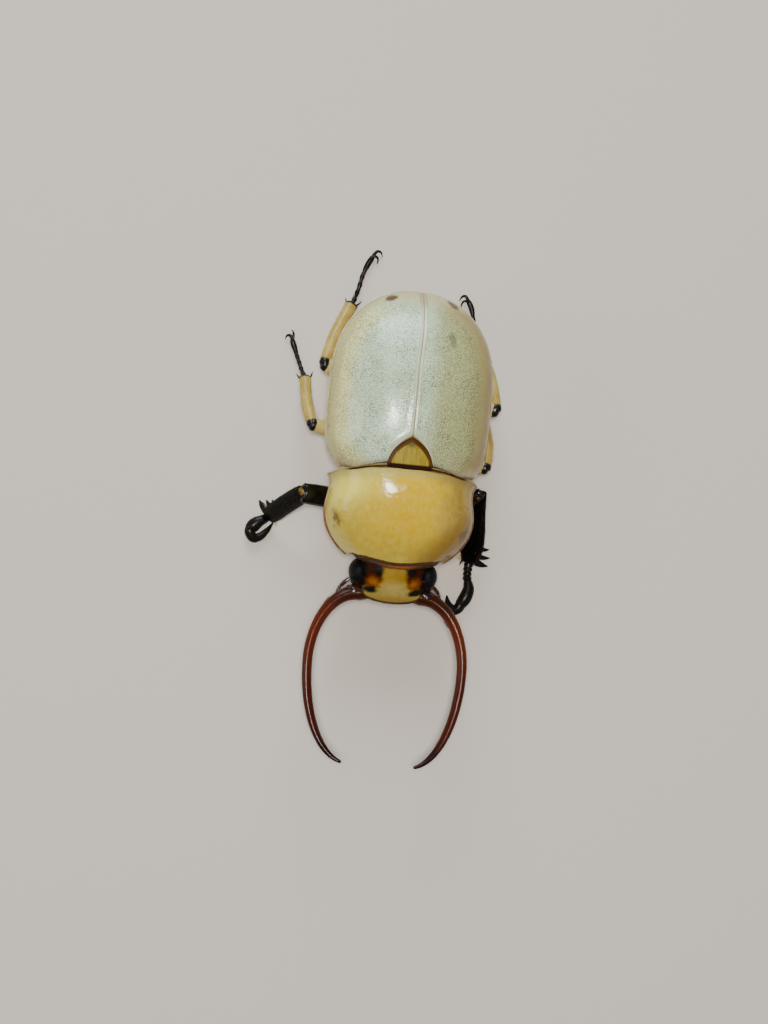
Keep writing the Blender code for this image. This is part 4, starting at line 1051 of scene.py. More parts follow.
wingCase = {
    "length": 15.0,
    "halfWidth": 6.8,
    "shoulderTaper": 0.07,
    "tailStart": 7.0,
    "tailRound": 2.2,
    "margin": 5.5,
    "marginFall": 0.3,
    "tailFall": 0.9,
    "rise": 4.65,
    "baseRise": 4.1,
    "topY": 4.8,
    "topRound": 2.05,
    "sectionRound": 2.35,
    "thickness": 0.45,
    "edgeRound": 0.03,
    "gap": 0.012,
    "seamDrift": 0.25,  # towards the left at the tail
    "seamDriftFrom": 8.0,
    "seamDriftTo": 12.0,
    "shoulderRound": {-1: 0.85, 1: 0.35},
    "shoulderLength": 2.4,
    "baseBow": 0.85,
    "baseBack": 0.20,
    "baseHalf": 4.2,  # half of the base edge that bulges
    "rolledShare": 0.1,  # of the rows, for the rolled base edge
    "rolledLength": 0.5,
    "rolledInset": 0.24,
    "domeShare": 0.72,  # of the columns, for the dome outside the seam's strip
    "domeTurn": 0.925,
    "ridge": 0.036,
    "ridgeFromSeam": 0.22,
    "ridgeHalfWidth": 0.17,
    "underShield": 0.30,  # how far it dips under the small shield
    "lumps": [(0.16, 5.0, 1.7, 0.9, 1.1), (0.14, 3.6, 12.2, 1.0, 0.9), (-0.05, 5.6, 6.0, 0.7, 3.0)],
    "bead": [0.077, 0.11, 0.11, 0.077],
    "columns": 44,
    "rows": 76,
}


def wingWidth(y):
    w = wingCase
    if y <= w["tailStart"]:
        return w["halfWidth"] * (1 - w["shoulderTaper"] * (1 - max(y, 0) / w["tailStart"]) ** 4)
    share = min((y - w["tailStart"]) / (w["length"] - w["tailStart"]), 1)
    return w["halfWidth"] * (1 - share ** w["tailRound"]) ** (1 / w["tailRound"])


def shoulderCut(side, y):
    w = wingCase
    return w["shoulderRound"][side] * max(1 - max(y, 0) / w["shoulderLength"], 0) ** 2.1


def seamX(y):
    w = wingCase
    return w["seamDrift"] * smoothStep(w["seamDriftFrom"], w["seamDriftTo"], y)


def baseForward(x, y):
    # the base edge bulges towards the shield
    w = wingCase
    bow = w["baseBow"] * (1 - min(x / w["baseHalf"], 1) ** 2) - w["baseBack"]
    return bow * (1 - min(y / w["length"], 1)) ** 3


def wingMargin(y):
    w = wingCase
    share = max(y, 0) / w["length"]
    return w["margin"] - w["marginFall"] * share - w["tailFall"] * (max(share - 0.5, 0) / 0.5) ** 2


def wingRise(y):
    w = wingCase
    if y <= w["topY"]:
        return w["rise"] - (w["rise"] - w["baseRise"]) * (1 - max(y, 0) / w["topY"]) ** 2
    share = min((y - w["topY"]) / (w["length"] - w["topY"]), 1)
    return w["rise"] * (1 - share ** w["topRound"]) ** (1 / w["topRound"])


def wingStation(share):
    # a row's place and inset; rows crowd towards the rolled base edge and the tail
    w = wingCase
    if share < w["rolledShare"]:
        edge = share / w["rolledShare"]
        return w["rolledLength"] * edge ** 1.6, w["rolledInset"] * (1 - edge) ** 2.2
    turn = 0.5 * math.pi * (share - w["rolledShare"]) / (1 - w["rolledShare"])
    return w["rolledLength"] + (w["length"] - w["rolledLength"]) * math.sin(turn) ** 1.1, 0


def marginPath(side, count):
    # the outer margin, from the shoulder round to the suture
    path = []
    for k in range(count):
        y, inset = wingStation(k / (count - 1))
        if y <= wingCase["length"] - 0.01:
            x = wingWidth(y) - inset - shoulderCut(side, y) - 0.02
            path.append(Vector((side * x, y + baseForward(x, y), wingMargin(y) + 0.02)))
    return path


def wingSection(share):
    # from the margin, x 1, to the suture, x 0, where the columns crowd for the raised seam
    w = wingCase
    bend = w["sectionRound"]
    if share <= w["domeShare"]:
        turn = (share / w["domeShare"]) ** 0.92 * w["domeTurn"]
        x = max(math.cos(0.5 * math.pi * turn), 0) ** (2 / bend)
    else:
        edge = math.cos(0.5 * math.pi * w["domeTurn"]) ** (2 / bend)
        x = edge * (1 - (share - w["domeShare"]) / (1 - w["domeShare"]))
    return (x, 0, (1 - x ** bend) ** (1 / bend))


def seamDistance(co):
    # from the middle seam, or from the small shield where that parts the wing cases,
    # and less than 0 below the small shield
    tip = scutellumShape["tipY"]
    middle = abs(co.x - seamX(co.y))
    if co.y > tip + 1:
        return middle
    far = shieldSide(Vector((middle, co.y, 0)))
    if co.y > tip:
        return min(middle, far)
    return -far if middle < scutellumHalf(co.y) else far


def makeWingCase(side):
    w = wingCase
    name = sideNames[side]
    gap = w["gap"] / 2
    edge = gap + 0.02  # the narrowest that a row becomes

    def row(share):
        y, inset = wingStation(share)
        rise = max(wingRise(y) - inset, 0.02)
        wide = max(wingWidth(y) - inset - shoulderCut(side, y), edge)
        middle = seamX(y) * smoothStep(w["length"], w["length"] - 1, y)
        return (side * (wide - gap) - middle, 1, rise), (side * gap + middle, y, wingMargin(y))

    def forms(co):
        x, y = abs(co.x), co.y
        forward = baseForward(x, y)
        seam = seamDistance(co + Vector((0, forward, 0)))
        lift = w["ridge"] * bell(seam - w["ridgeFromSeam"], w["ridgeHalfWidth"]) * smoothStep(14.8, 13.5, y)
        if y < scutellumShape["tipY"]:
            lift -= w["underShield"] * smoothStep(0.10, -0.30, seam)
        return (0, forward, lift + lumps(w["lumps"], x, y))

    case = bentGrid("case", w["columns"], w["rows"], wingSection, row)
    relief(case, forms)
    mend(case, 0.01)
    thicken(case, w["thickness"], w["edgeRound"])
    mark(case, "seam", seamDistance)
    mark(case, "rim", edgeDistance(marginPath(side, 34), flat=True))
    place(case, "wing_case_" + name, wing, ["elytron_" + name])
    bead = limb("bead", marginPath(side, 70), w["bead"], sides=8)
    # pale finish: partly the bead's colour, partly painted highlight
    place(bead, "wing_bead_" + name, paleBeadAndHighlight)


for side in sideNames:
    makeWingCase(side)
print("wing cases are made")


# Shield behind the head

pronotumShape = {
    "hindY": -0.9,
    "frontY": -7.35,
    "widestY": -3.7,
    "halfWidth": 6.2,
    "frontReach": 4.89,
    "waistY": -1.6,
    "waist": 0.27,
    "hindFlare": 0.26,
    "hindBow": 1.2,
    "frontBow": -0.8,
    "hindLobe": 0.17,
    "cornerNotch": 0.20,  # the front edge draws back beside each corner
    "cornerFlat": 1.0,
    "margin": 5.45,
    "top": 9.75,
    "topY": -1.5,
    "topFall": 0.050,
    "sectionRound": 2.3,
    "thickness": 0.45,
    "edgeRound": 0.06,
    # hollows beside the middle and before the hind edge, and a swelling towards the front
    "lumps": [(-0.10, 3.9, -3.4, 0.8, 0.9), (-0.06, 0.0, -0.4, 1.4, 0.7), (0.05, 2.6, -5.2, 1.2, 1.2)],
    "sideRim": [0.13, 0.12, 0.15, 0.10],
    "hindRim": [0.07, 0.08, 0.08, 0.07],
    "frontRim": [0.18, 0.24, 0.21, 0.24, 0.18],
    "frontRimShift": (0, 0.17, 0.03),
    "columns": 64,
    "rows": 44,
}


def pronotumWidth(y):
    p = pronotumShape
    if y <= p["widestY"]:
        return p["halfWidth"] * math.sqrt(max(1 - ((p["widestY"] - y) / p["frontReach"]) ** 2, 0))
    flare = p["hindFlare"] * max((y - p["waistY"]) / (p["hindY"] - p["waistY"]), 0) ** 2
    return p["halfWidth"] - p["waist"] * smoothStep(p["widestY"], p["waistY"], y) + flare


def pronotumPoint(along, across):
    # along 0 is the hind edge and 1 the front edge; across runs from -1 to 1
    p = pronotumShape
    side = abs(across)
    y = p["hindY"] + (p["frontY"] - p["hindY"]) * along
    bow = p["hindBow"] + (p["frontBow"] - p["hindBow"]) * along
    here = y + bow * (1 - side ** (2 if bow > 0 else 1.7))
    here += p["hindLobe"] * bell(side - 0.88, 0.10) * (1 - along) ** 6
    here += p["cornerNotch"] * bell(side - 0.875, 0.065) * along ** 8
    bend = p["sectionRound"] - p["cornerFlat"] * smoothStep(0.62, 0.95, side) * along ** 6
    height = (1 - side ** bend) ** (1 / bend)
    top = p["top"] - p["topFall"] * (here - p["topY"]) ** 2
    return Vector((pronotumWidth(y) * across, here, p["margin"] + (top - p["margin"]) * height))


def pronotumEdge(along):
    # the points of the hind or front edge, from left to right, closer together towards the corners
    return [pronotumPoint(along, math.cos(math.pi * k / 60)) for k in range(61)]


def makePronotum():
    p = pronotumShape

    def column(share):
        return (power(math.cos(math.pi * share), 2 / p["sectionRound"]), 0, 0)

    def forms(co):
        spot = pronotumPoint(co.y, co.x)
        return spot + Vector((0, 0, lumps(p["lumps"], abs(spot.x), spot.y))) - co

    plate = bentGrid("plate", p["columns"], p["rows"], column, lambda share: ((1, 1, 1), (0, share, 0)))
    relief(plate, forms)
    thicken(plate, p["thickness"], p["edgeRound"])
    mark(plate, "front", edgeDistance([pronotumPoint(1.0, k / 30 - 1) for k in range(61)]))
    place(plate, "shield_plate", shield, ["pronotum"])

    # raised rims: amber along the sides, dark along the hind and front edges
    sidePath = [pronotumPoint(k / 40, 1) for k in range(41)]
    for side, name in sideNames.items():
        rim = limb("rim", mirrored(sidePath, side), p["sideRim"], sides=8)
        place(rim, "shield_rim_" + name, amber)
    # the hind rim is dark: partly its own brown, partly painted shadow of the gap before the wing cases
    rim = limb("rim", pronotumEdge(0.0), p["hindRim"], sides=8)
    place(rim, "shield_rim_hind", darkRim)
    front = [spot + Vector(p["frontRimShift"]) for spot in pronotumEdge(1.0)[9:-9]]
    rim = limb("rim", front, p["frontRim"], flat=0.5, sides=12)
    place(rim, "shield_rim_front", darkRim)


makePronotum()
print("shield is made")


# Small shield between the wing cases


def makeScutellum():
    s = scutellumShape

    def column(share):
        return (power(math.sin(math.pi * (share - 0.5)), 0.8), 0, 0)

    def row(share):
        y = s["frontY"] + (s["tipY"] - s["frontY"]) * math.sin(0.5 * math.pi * share)
        wide = scutellumHalf(y) - 0.02 + 0.1 * max(s["shoulderY"] - y, 0)
        return (max(wide, 0.004), 1, 1), (0, y, scutellumEdge(max(scutellumShare(y), 0)).z)

    def forms(co):
        across = min(abs(co.x) / max(scutellumHalf(co.y), 0.05), 1)
        dip = 0.35 * smoothStep(0.45, -0.15, co.y)  # under the shield's hind edge
        return (0, 0, s["dome"] * (1 - across ** 2) - dip)

    plate = bentGrid("scutellum", 36, 44, column, row)
    relief(plate, forms)
    mend(plate, 0.006)
    thicken(plate, s["depth"])
    mark(plate, "edge", lambda co: shieldSide(Vector((abs(co.x), co.y, 0))))
    place(plate, "scutellum_plate", scutellumPaint, ["scutellum"])
    half = [spot - Vector((0, 0, 0.04)) for spot in scutellumOutline]
    path = mirrored(half, -1) + half[-2::-1]
    rim = limb("rim", path, [s["rim"], s["rim"] * 0.9, s["rim"]], flat=0.8, sides=8)
    place(rim, "scutellum_rim", darkRim)


makeScutellum()
print("scutellum is made")


# Body under the shells

trunk = {
    "shellInset": 0.66,  # from the outside of a shell to the body below it
    "chestBottom": 2.0,
    "chestHind": 0.35,
    "chestFront": -6.7,
    "bellyZ": 1.7,
    "bellyFlatEnd": 6.0,
    "bellyTailRise": 2.9,
    "bellyRound": 1.8,
    "hindStart": 0.75,
    "hindEnd": 14.25,
    "waistY": 6.9,
    "tailPlateY": 12.55,
    "ventrites": 5,
    "overlap": 0.22,  # of one belly ring and the next
    "tail": (12.42, 14.32),
    "waist": (-0.5, 1.9),
    "waistSize": (4.75, 5.3, 3.0, 2.45),
    "waistFold": 0.07,
}


def bellyBottom(y):
    t = trunk
    share = max((y - t["bellyFlatEnd"]) / (t["hindEnd"] - t["bellyFlatEnd"]), 0)
    return t["bellyZ"] + t["bellyTailRise"] * share ** 2.6


def hindSection(y):
    # half width, margin height, rise above it and drop below it
    t = trunk
    match = y * wingCase["length"] / (t["hindEnd"] + 0.12)
    front = max(1 - (y - t["hindStart"]) / 1.2, 0) ** 2
    wide = max(wingWidth(match) - t["shellInset"] - 0.5 * front, 0.3)
    rise = max(wingRise(match) - t["shellInset"] - 0.4 * front, 0.15)
    drop = max(wingMargin(match) - bellyBottom(y), 0.2) * (1 - 0.25 * front)
    return wide, wingMargin(match), rise, drop


def chestSection(y):
    p, t = pronotumShape, trunk
    share = (t["chestHind"] - y) / (t["chestHind"] - t["chestFront"])
    wide = pronotumWidth(min(y, p["waistY"])) - t["shellInset"] - 0.5 * share ** 3
    top = p["top"] - p["topFall"] * (y - p["topY"]) ** 2
    rise = top - t["shellInset"] - 0.35 * share ** 2 - p["margin"] - 0.5 * (1 - share) ** 6
    drop = (p["margin"] - t["chestBottom"]) * (1 - 0.30 * share ** 4 - 0.25 * (1 - share) ** 4)
    return wide, p["margin"] - 0.1, rise, drop


def waistSection(y):
    wide, margin, rise, drop = trunk["waistSize"]
    return wide + trunk["waistFold"] * math.cos(9 * y), margin, rise, drop


def tailSection(y):
    wide, margin, rise, drop = hindSection(min(y, 14.2))
    close = smoothStep(13.6, trunk["tail"][1], y)
    lip = 0.10 * bell(y - 12.62, 0.10)
    wide = (wide + 0.02) * (1 - 0.75 * close ** 2) + lip
    return wide, margin, rise * (1 - 0.5 * close), (drop + lip) * (1 - 0.6 * close)


def bodyPiece(name, start, end, along, sectionAt, topRound=wingCase["sectionRound"]):
    # a closed length of the body
    def rowAt(share):
        y = start + (end - start) * share
        wide, margin, rise, drop = sectionAt(y)
        return (wide, 1, rise), (0, y, margin), drop / rise

    return closedForm(name, 64, along, (topRound, trunk["bellyRound"]), rowAt)


def sideSeam(co, height, halfWidth):
    # a groove along the body's flank, at this height
    return -math.copysign(bell(co.z - height, halfWidth), co.x) * (abs(co.x) > 1)


def chestForms(co):
    # a keel between the fore coxae, a collar in front, and the seam of the folded-down shield
    x, y = abs(co.x), co.y
    lift = -0.22 * bell(x, 0.5) * smoothStep(-6.4, -5.4, y)
    lift += 0.16 * bell(y + 5.9, 0.18) + 0.12 * bell(y + 1.2, 0.16)
    return (0.10 * sideSeam(co, 4.6, 0.14), 0, lift * smoothStep(4.8, 3.0, co.z))


def breastForms(co):
    # mid groove, seams round the middle and hind coxae, and the side plates' seam
    x, y = abs(co.x), co.y
    lift = 0.14 * bell(x, 0.16) * smoothStep(1.8, 2.6, y)
    lift += 0.16 * bell(y - 5.15 - 0.10 * x, 0.12)
    lift += 0.14 * bell(y - 3.05 + 0.18 * x, 0.12) * smoothStep(3.9, 3.0, x)
    lift -= 0.10 * bell(x - 1.5, 1.0) * bell(y - 4.1, 0.8)
    return (0.12 * sideSeam(co, 3.7 + 0.06 * y, 0.12), 0, lift * smoothStep(4.4, 2.8, co.z))


def makeTrunk():
    t = trunk
    topRound = pronotumShape["sectionRound"]
    chest = bodyPiece("chest", t["chestHind"], t["chestFront"], 40, chestSection, topRound)
    relief(chest, chestForms)
    place(chest, "chest_underside", belly, ["prosternum"])
    # the soft folded waist between the two halves of the trunk
    waist = bodyPiece("waist", *t["waist"], 24, waistSection, topRound)
    place(waist, "waist_skin", softSkin)
    breast = bodyPiece("breast", t["hindStart"], t["waistY"], 44, hindSection)
    relief(breast, breastForms)
    place(breast, "breast_underside", belly, ["metathorax"])

    # rings below the belly, each hind edge standing over the next
    pieces = []
    stride = (t["tailPlateY"] - t["waistY"]) / t["ventrites"]
    for k in range(t["ventrites"]):
        start = t["waistY"] + stride * k - 0.10

        def ringSection(y, start=start):
            wide, margin, rise, drop = hindSection(y)
            along = (y - start) / (stride + t["overlap"])
            tuck = 0.13 * (1 - smoothStep(0.0, 0.55, along)) + 0.10 * smoothStep(0.90, 1.0, along)
            return wide - 0.6 * tuck, margin, rise, drop - tuck

        ring = bodyPiece("ring", start, start + stride + t["overlap"], 14, ringSection)
        relief(ring, lambda co: (0, 0.10 * smoothStep(4.5, 0.5, abs(co.x)) * smoothStep(3.6, 2.4, co.z), 0))
        pieces.append(ring)
    place(join(pieces, "abdomen"), "belly_rings", belly, ["abdomen"])
    place(bodyPiece("tail", *t["tail"], 26, tailSection), "tail_plate", paleTail, ["pygidium"])


makeTrunk()
print("underside is made")


# Head

headShape = {
    "halfWidth": 3.0,
    "clypeusHalfWidth": 2.6,
    "clypeusY": -9.9,
    "frontY": -11.1,
    "top": 6.75,
    "clypeusTop": 5.95,
    "bottom": 3.15,
    "rounds": (2.7, 2.6),
    "lumps": [(0.03, 1.55, -8.6, 0.55, 0.6), (-0.08, 0.0, -8.2, 0.9, 0.6)],
    # the right half of the clypeus's turned-up rim
    "rim": [(0, -11.09, 5.57), (0.9, -11.04, 5.57), (1.55, -10.93, 5.57), (1.98, -10.80, 5.56),
            (2.30, -10.58, 5.54), (2.48, -10.25, 5.50), (2.52, -9.95, 5.46)],
    "rimWidths": [0.06, 0.085, 0.09, 0.085, 0.06],
    "eyeCentre": (2.92, -8.68, 5.15),
    "eyeRadii": (0.80, 1.06, 1.12),
    # the brow bar that crosses the front of the eye, and the cheek below the jaw's root
    "brow": [(2.55, -9.05, 5.95), (3.05, -9.55, 5.62), (3.42, -9.62, 5.2)],
    "browWidths": [0.22, 0.26, 0.20, 0.12],
    "cheek": [(2.3, -8.9, 4.1), (2.75, -9.6, 4.35), (2.7, -10.15, 4.7)],
    "cheekWidths": [0.55, 0.62, 0.5, 0.36],
}


def headStations():
    # y, half width, bottom, top
    h = headShape
    wide, lip, top, bottom = h["halfWidth"], h["clypeusHalfWidth"], h["top"], h["bottom"]
    clypeusTop, clypeusY, frontY = h["clypeusTop"], h["clypeusY"], h["frontY"]
    return [
        (-7.0, 0.86 * wide, bottom + 0.5, top - 0.45),
        (-7.6, 0.97 * wide, bottom + 0.1, top - 0.12),
        (-8.4, wide, bottom, top),
        (clypeusY + 0.7, 0.98 * wide, bottom + 0.1, top - 0.22),
        (clypeusY, 0.94 * wide, bottom + 0.55, top - 0.5),
        (clypeusY - 0.45, lip, bottom + 1.35, clypeusTop + 0.05),
        (frontY + 0.4, 0.97 * lip, bottom + 1.75, clypeusTop - 0.12),
        (frontY + 0.12, 0.90 * lip, bottom + 1.9, clypeusTop - 0.26),
        (frontY, 0.78 * lip, bottom + 2.05, clypeusTop - 0.40),
    ]


def headForms(co):
    h = headShape
    x, y, z = abs(co.x), co.y, co.z
    clypeusY = h["clypeusY"]
    arc = 0.5 * (co.x / h["clypeusHalfWidth"]) ** 2 * smoothStep(clypeusY - 0.3, clypeusY - 0.8, y)
    lift = lumps(h["lumps"], x, y)
    lift -= 0.03 * bell(y + 9.55 - 0.05 * x ** 2, 0.16)  # seam before the clypeus
    lift -= 0.04 * bell(y + 10.55, 0.35) * smoothStep(2.3, 1.2, x)
    notch = -math.copysign(0.16 * bell(y + 9.75, 0.22) * bell(z - 4.9, 0.7), co.x) * (x > 2)
    return (notch, arc, lift * smoothStep(4.9, 5.5, z))


def makeEye(side, name):
    h = headShape
    deselect()
    bpy.ops.mesh.primitive_uv_sphere_add(segments=48, ring_count=32, radius=1, location=(0, 0, 0))
    eye = bpy.context.object
    edit(eye)
    bpy.ops.transform.resize(value=h["eyeRadii"], center_override=(0, 0, 0))
    bpy.ops.transform.translate(value=mirrored([h["eyeCentre"]], side)[0])
    done(eye)
    place(eye, "eye_ball_" + name, eyeBlack, ["eye_" + name])


def makeHead():
    h = headShape
    skull = closedForm("skull", 64, 60, h["rounds"], stationed(headStations()))
    relief(skull, headForms)
    place(skull, "head_shell", headPaint, ["head"])
    rimPath = smoothPath(mirrored(h["rim"][:0:-1], -1) + h["rim"], 5)
    place(limb("rim", rimPath, h["rimWidths"], sides=10), "clypeus_rim", darkRim)
    for side, name in sideNames.items():
        makeEye(side, name)
        for part, flat, sides in (("brow", 0.7, 12), ("cheek", 0.85, 16)):
            bar = limb(part, smoothPath(mirrored(h[part], side), 6), h[part + "Widths"], flat, sides)
            place(bar, part + "_" + name, black)


makeHead()


# Jaws

jawShape = {
    "axisX": 2.6,
    "bow": 3.88,
    "widestY": -16.4,
    "baseReach": 5.9,
    "tipReach": 8.1,
    "baseZ": 4.75,
    "rise": 2.2,
    "radii": (0.66, 0.57, 0.50, 0.45, 0.43, 0.41, 0.37, 0.29, 0.16),
    "tipAngle": -81.0,
    "root": (1.65, -10.25, 4.65),
    "steps": 72,
    "keel": 0.05,
    "keelWay": (0.6, 0, 1),
    "collar": [(2.55, -10.15, 4.75), (3.1, -10.42, 4.78), (3.5, -10.62, 4.8)],
    "collarWidths": [0.55, 0.64, 0.55],
}


def jawPoint(share):
    # a bow that turns from the root, straight back, to the tip's angle, and climbs
    j = jawShape
    turn = math.radians(90 + (j["tipAngle"] - 90) * share)
    reach = j["baseReach"] if turn > 0 else j["tipReach"]
    return (j["axisX"] + j["bow"] * math.cos(turn), j["widestY"] + reach * math.sin(turn),
            j["baseZ"] + j["rise"] * share ** 1.4)


def makeJaw(side, name):
    j = jawShape
    points = [j["root"]] + [jawPoint(k / j["steps"]) for k in range(j["steps"] + 1)]
    path = [Vector(spot) for spot in mirrored(points, side)]
    upper = Vector(mirrored([j["keelWay"]], side)[0]).normalized()

    def forms(co):
        # a low keel along the upper outer side
        near = min(path, key=lambda spot: (spot - co).length_squared)
        away = co - near
        if away.length < 0.02:
            return (0, 0, 0)
        away.normalize()
        ends = smoothStep(-10.6, -12.5, co.y) * smoothStep(-24.2, -22.5, co.y)
        return away * j["keel"] * max(away.dot(upper), 0) ** 6 * ends

    horn = limb("jaw", path, j["radii"], flat=1.1, sides=24, ends=(0.8, 1.3))
    relief(horn, forms)
    place(horn, "jaw_" + name, jaw, ["mandible_" + name])
    collar = limb("collar", smoothPath(mirrored(j["collar"], side), 6), j["collarWidths"], flat=1.1, sides=20)
    place(collar, "jaw_collar_" + name, jawRoot)


for side, name in sideNames.items():
    makeJaw(side, name)
print("head and jaws are made")


# Feelers and mouthparts

feelers = {
    "scape": [(2.75, -9.25, 4.3), (3.42, -9.40, 4.22), (3.80, -9.68, 4.14), (4.14, -10.06, 4.0)],
    "scapeWidths": [0.10, 0.11, 0.15, 0.18, 0.15],
    "beads": [(4.18, -10.12, 3.95), (4.28, -10.36, 3.82), (4.35, -10.58, 3.70), (4.39, -10.78, 3.58),
              (4.42, -10.97, 3.48)],
    "beadWidths": [0.10, 0.14, 0.16, 0.14, 0.10],
    "leaf": [(4.42, -10.95, 3.46), (4.88, -11.85, 3.2), (5.38, -12.95, 3.1)],
    "leafWidths": [0.14, 0.30, 0.40, 0.43, 0.40, 0.30, 0.14],
    "leafSpread": (0.10, 0.03, 0.17),  # from one leaf to the next
    "leafShift": {-1: 0.0, 1: 0.42},  # outwards
}


def makeFeeler(side, name):
    f = feelers
    pieces = [limb("scape", smoothPath(mirrored(f["scape"], side), 6), f["scapeWidths"], sides=14)]
    beads = [Vector(spot) for spot in mirrored(f["beads"], side)]
    for near, far in zip(beads, beads[1:]):
        pieces.append(limb("bead", [near.lerp(far, k / 4) for k in range(5)], f["beadWidths"], sides=12))
    place(join(pieces, "feeler"), "feeler_stalk_" + name, jawRoot)
    middle = smoothPath(mirrored(f["leaf"], side), 8)
    outwards = Vector((side * f["leafShift"][side], 0, 0))
    leaves = []
    for k in (-1, 0, 1):
        lift = Vector(mirrored([f["leafSpread"]], side)[0]) * k + outwards
        path = [spot + lift * smoothStep(0, 0.35, i / (len(middle) - 1)) for i, spot in enumerate(middle)]
        leaves.append(limb("leaf", path, f["leafWidths"], flat=0.24, sides=18, ends=(0.5, 0.8)))
    place(join(leaves, "club"), "feeler_club_" + name, feelerLeaf, ["antenna_" + name])


mouth = {
    "stem": [(1.7, -8.8, 3.0), (1.85, -9.5, 2.75), (1.8, -10.1, 2.85)],
    "stemWidths": [0.40, 0.48, 0.40, 0.30],
    "palp": [(2.0, -9.7, 2.8), (2.7, -10.0, 2.55), (3.35, -10.3, 2.55), (3.7, -10.85, 2.7)],
    "palpWidths": [0.15, 0.20, 0.26, 0.28, 0.20],
    "palpCuts": [0, 5, 11, 17, 24],  # where its joints begin, in steps along it
    # y, half width, bottom, top
    "chin": [(-7.9, 0.9, 2.75, 3.2), (-8.6, 1.15, 2.42, 3.2), (-9.5, 1.1, 2.38, 3.1),
             (-10.2, 0.85, 2.58, 3.15), (-10.6, 0.55, 2.85, 3.2)],
    "lip": [(-10.0, 1.70, 3.86, 4.38), (-10.4, 1.76, 3.86, 4.38), (-10.7, 1.68, 3.88, 4.36),
            (-10.95, 1.30, 3.96, 4.28)],
    "lipArc": 0.35,
    "lipNotch": 0.22,
}


def lipForms(co):
    # bowed back at the sides and notched in the middle
    notch = mouth["lipNotch"] * bell(co.x, 0.3) * smoothStep(-10.6, -10.95, co.y)
    return (0, mouth["lipArc"] * (co.x / 1.75) ** 2 + notch, 0)


def makeMouth():
    m = mouth
    for side, name in sideNames.items():
        stem = smoothPath(mirrored(m["stem"], side), 6)
        pieces = [limb("stem", stem, m["stemWidths"], flat=0.8, sides=16)]
        palp = smoothPath(mirrored(m["palp"], side), 8)
        for first, last in zip(m["palpCuts"], m["palpCuts"][1:]):
            pieces.append(limb("palp", palp[first:last + 1], m["palpWidths"], sides=12, ends=(0.4, 0.6)))
        place(join(pieces, "maxilla"), "palp_" + name, black, ["maxilla_" + name])
    chin = closedForm("chin", 32, 24, (2.4, 2.4), stationed(m["chin"]))
    place(chin, "chin_plate", black, ["labium"])
    lip = closedForm("lip", 40, 20, (2.6, 2.6), stationed(m["lip"]))
    relief(lip, lipForms)
    place(lip, "upper_lip", black, ["labrum"])


for side, name in sideNames.items():
    makeFeeler(side, name)
makeMouth()
print("feelers and mouthparts are made")


# Legs

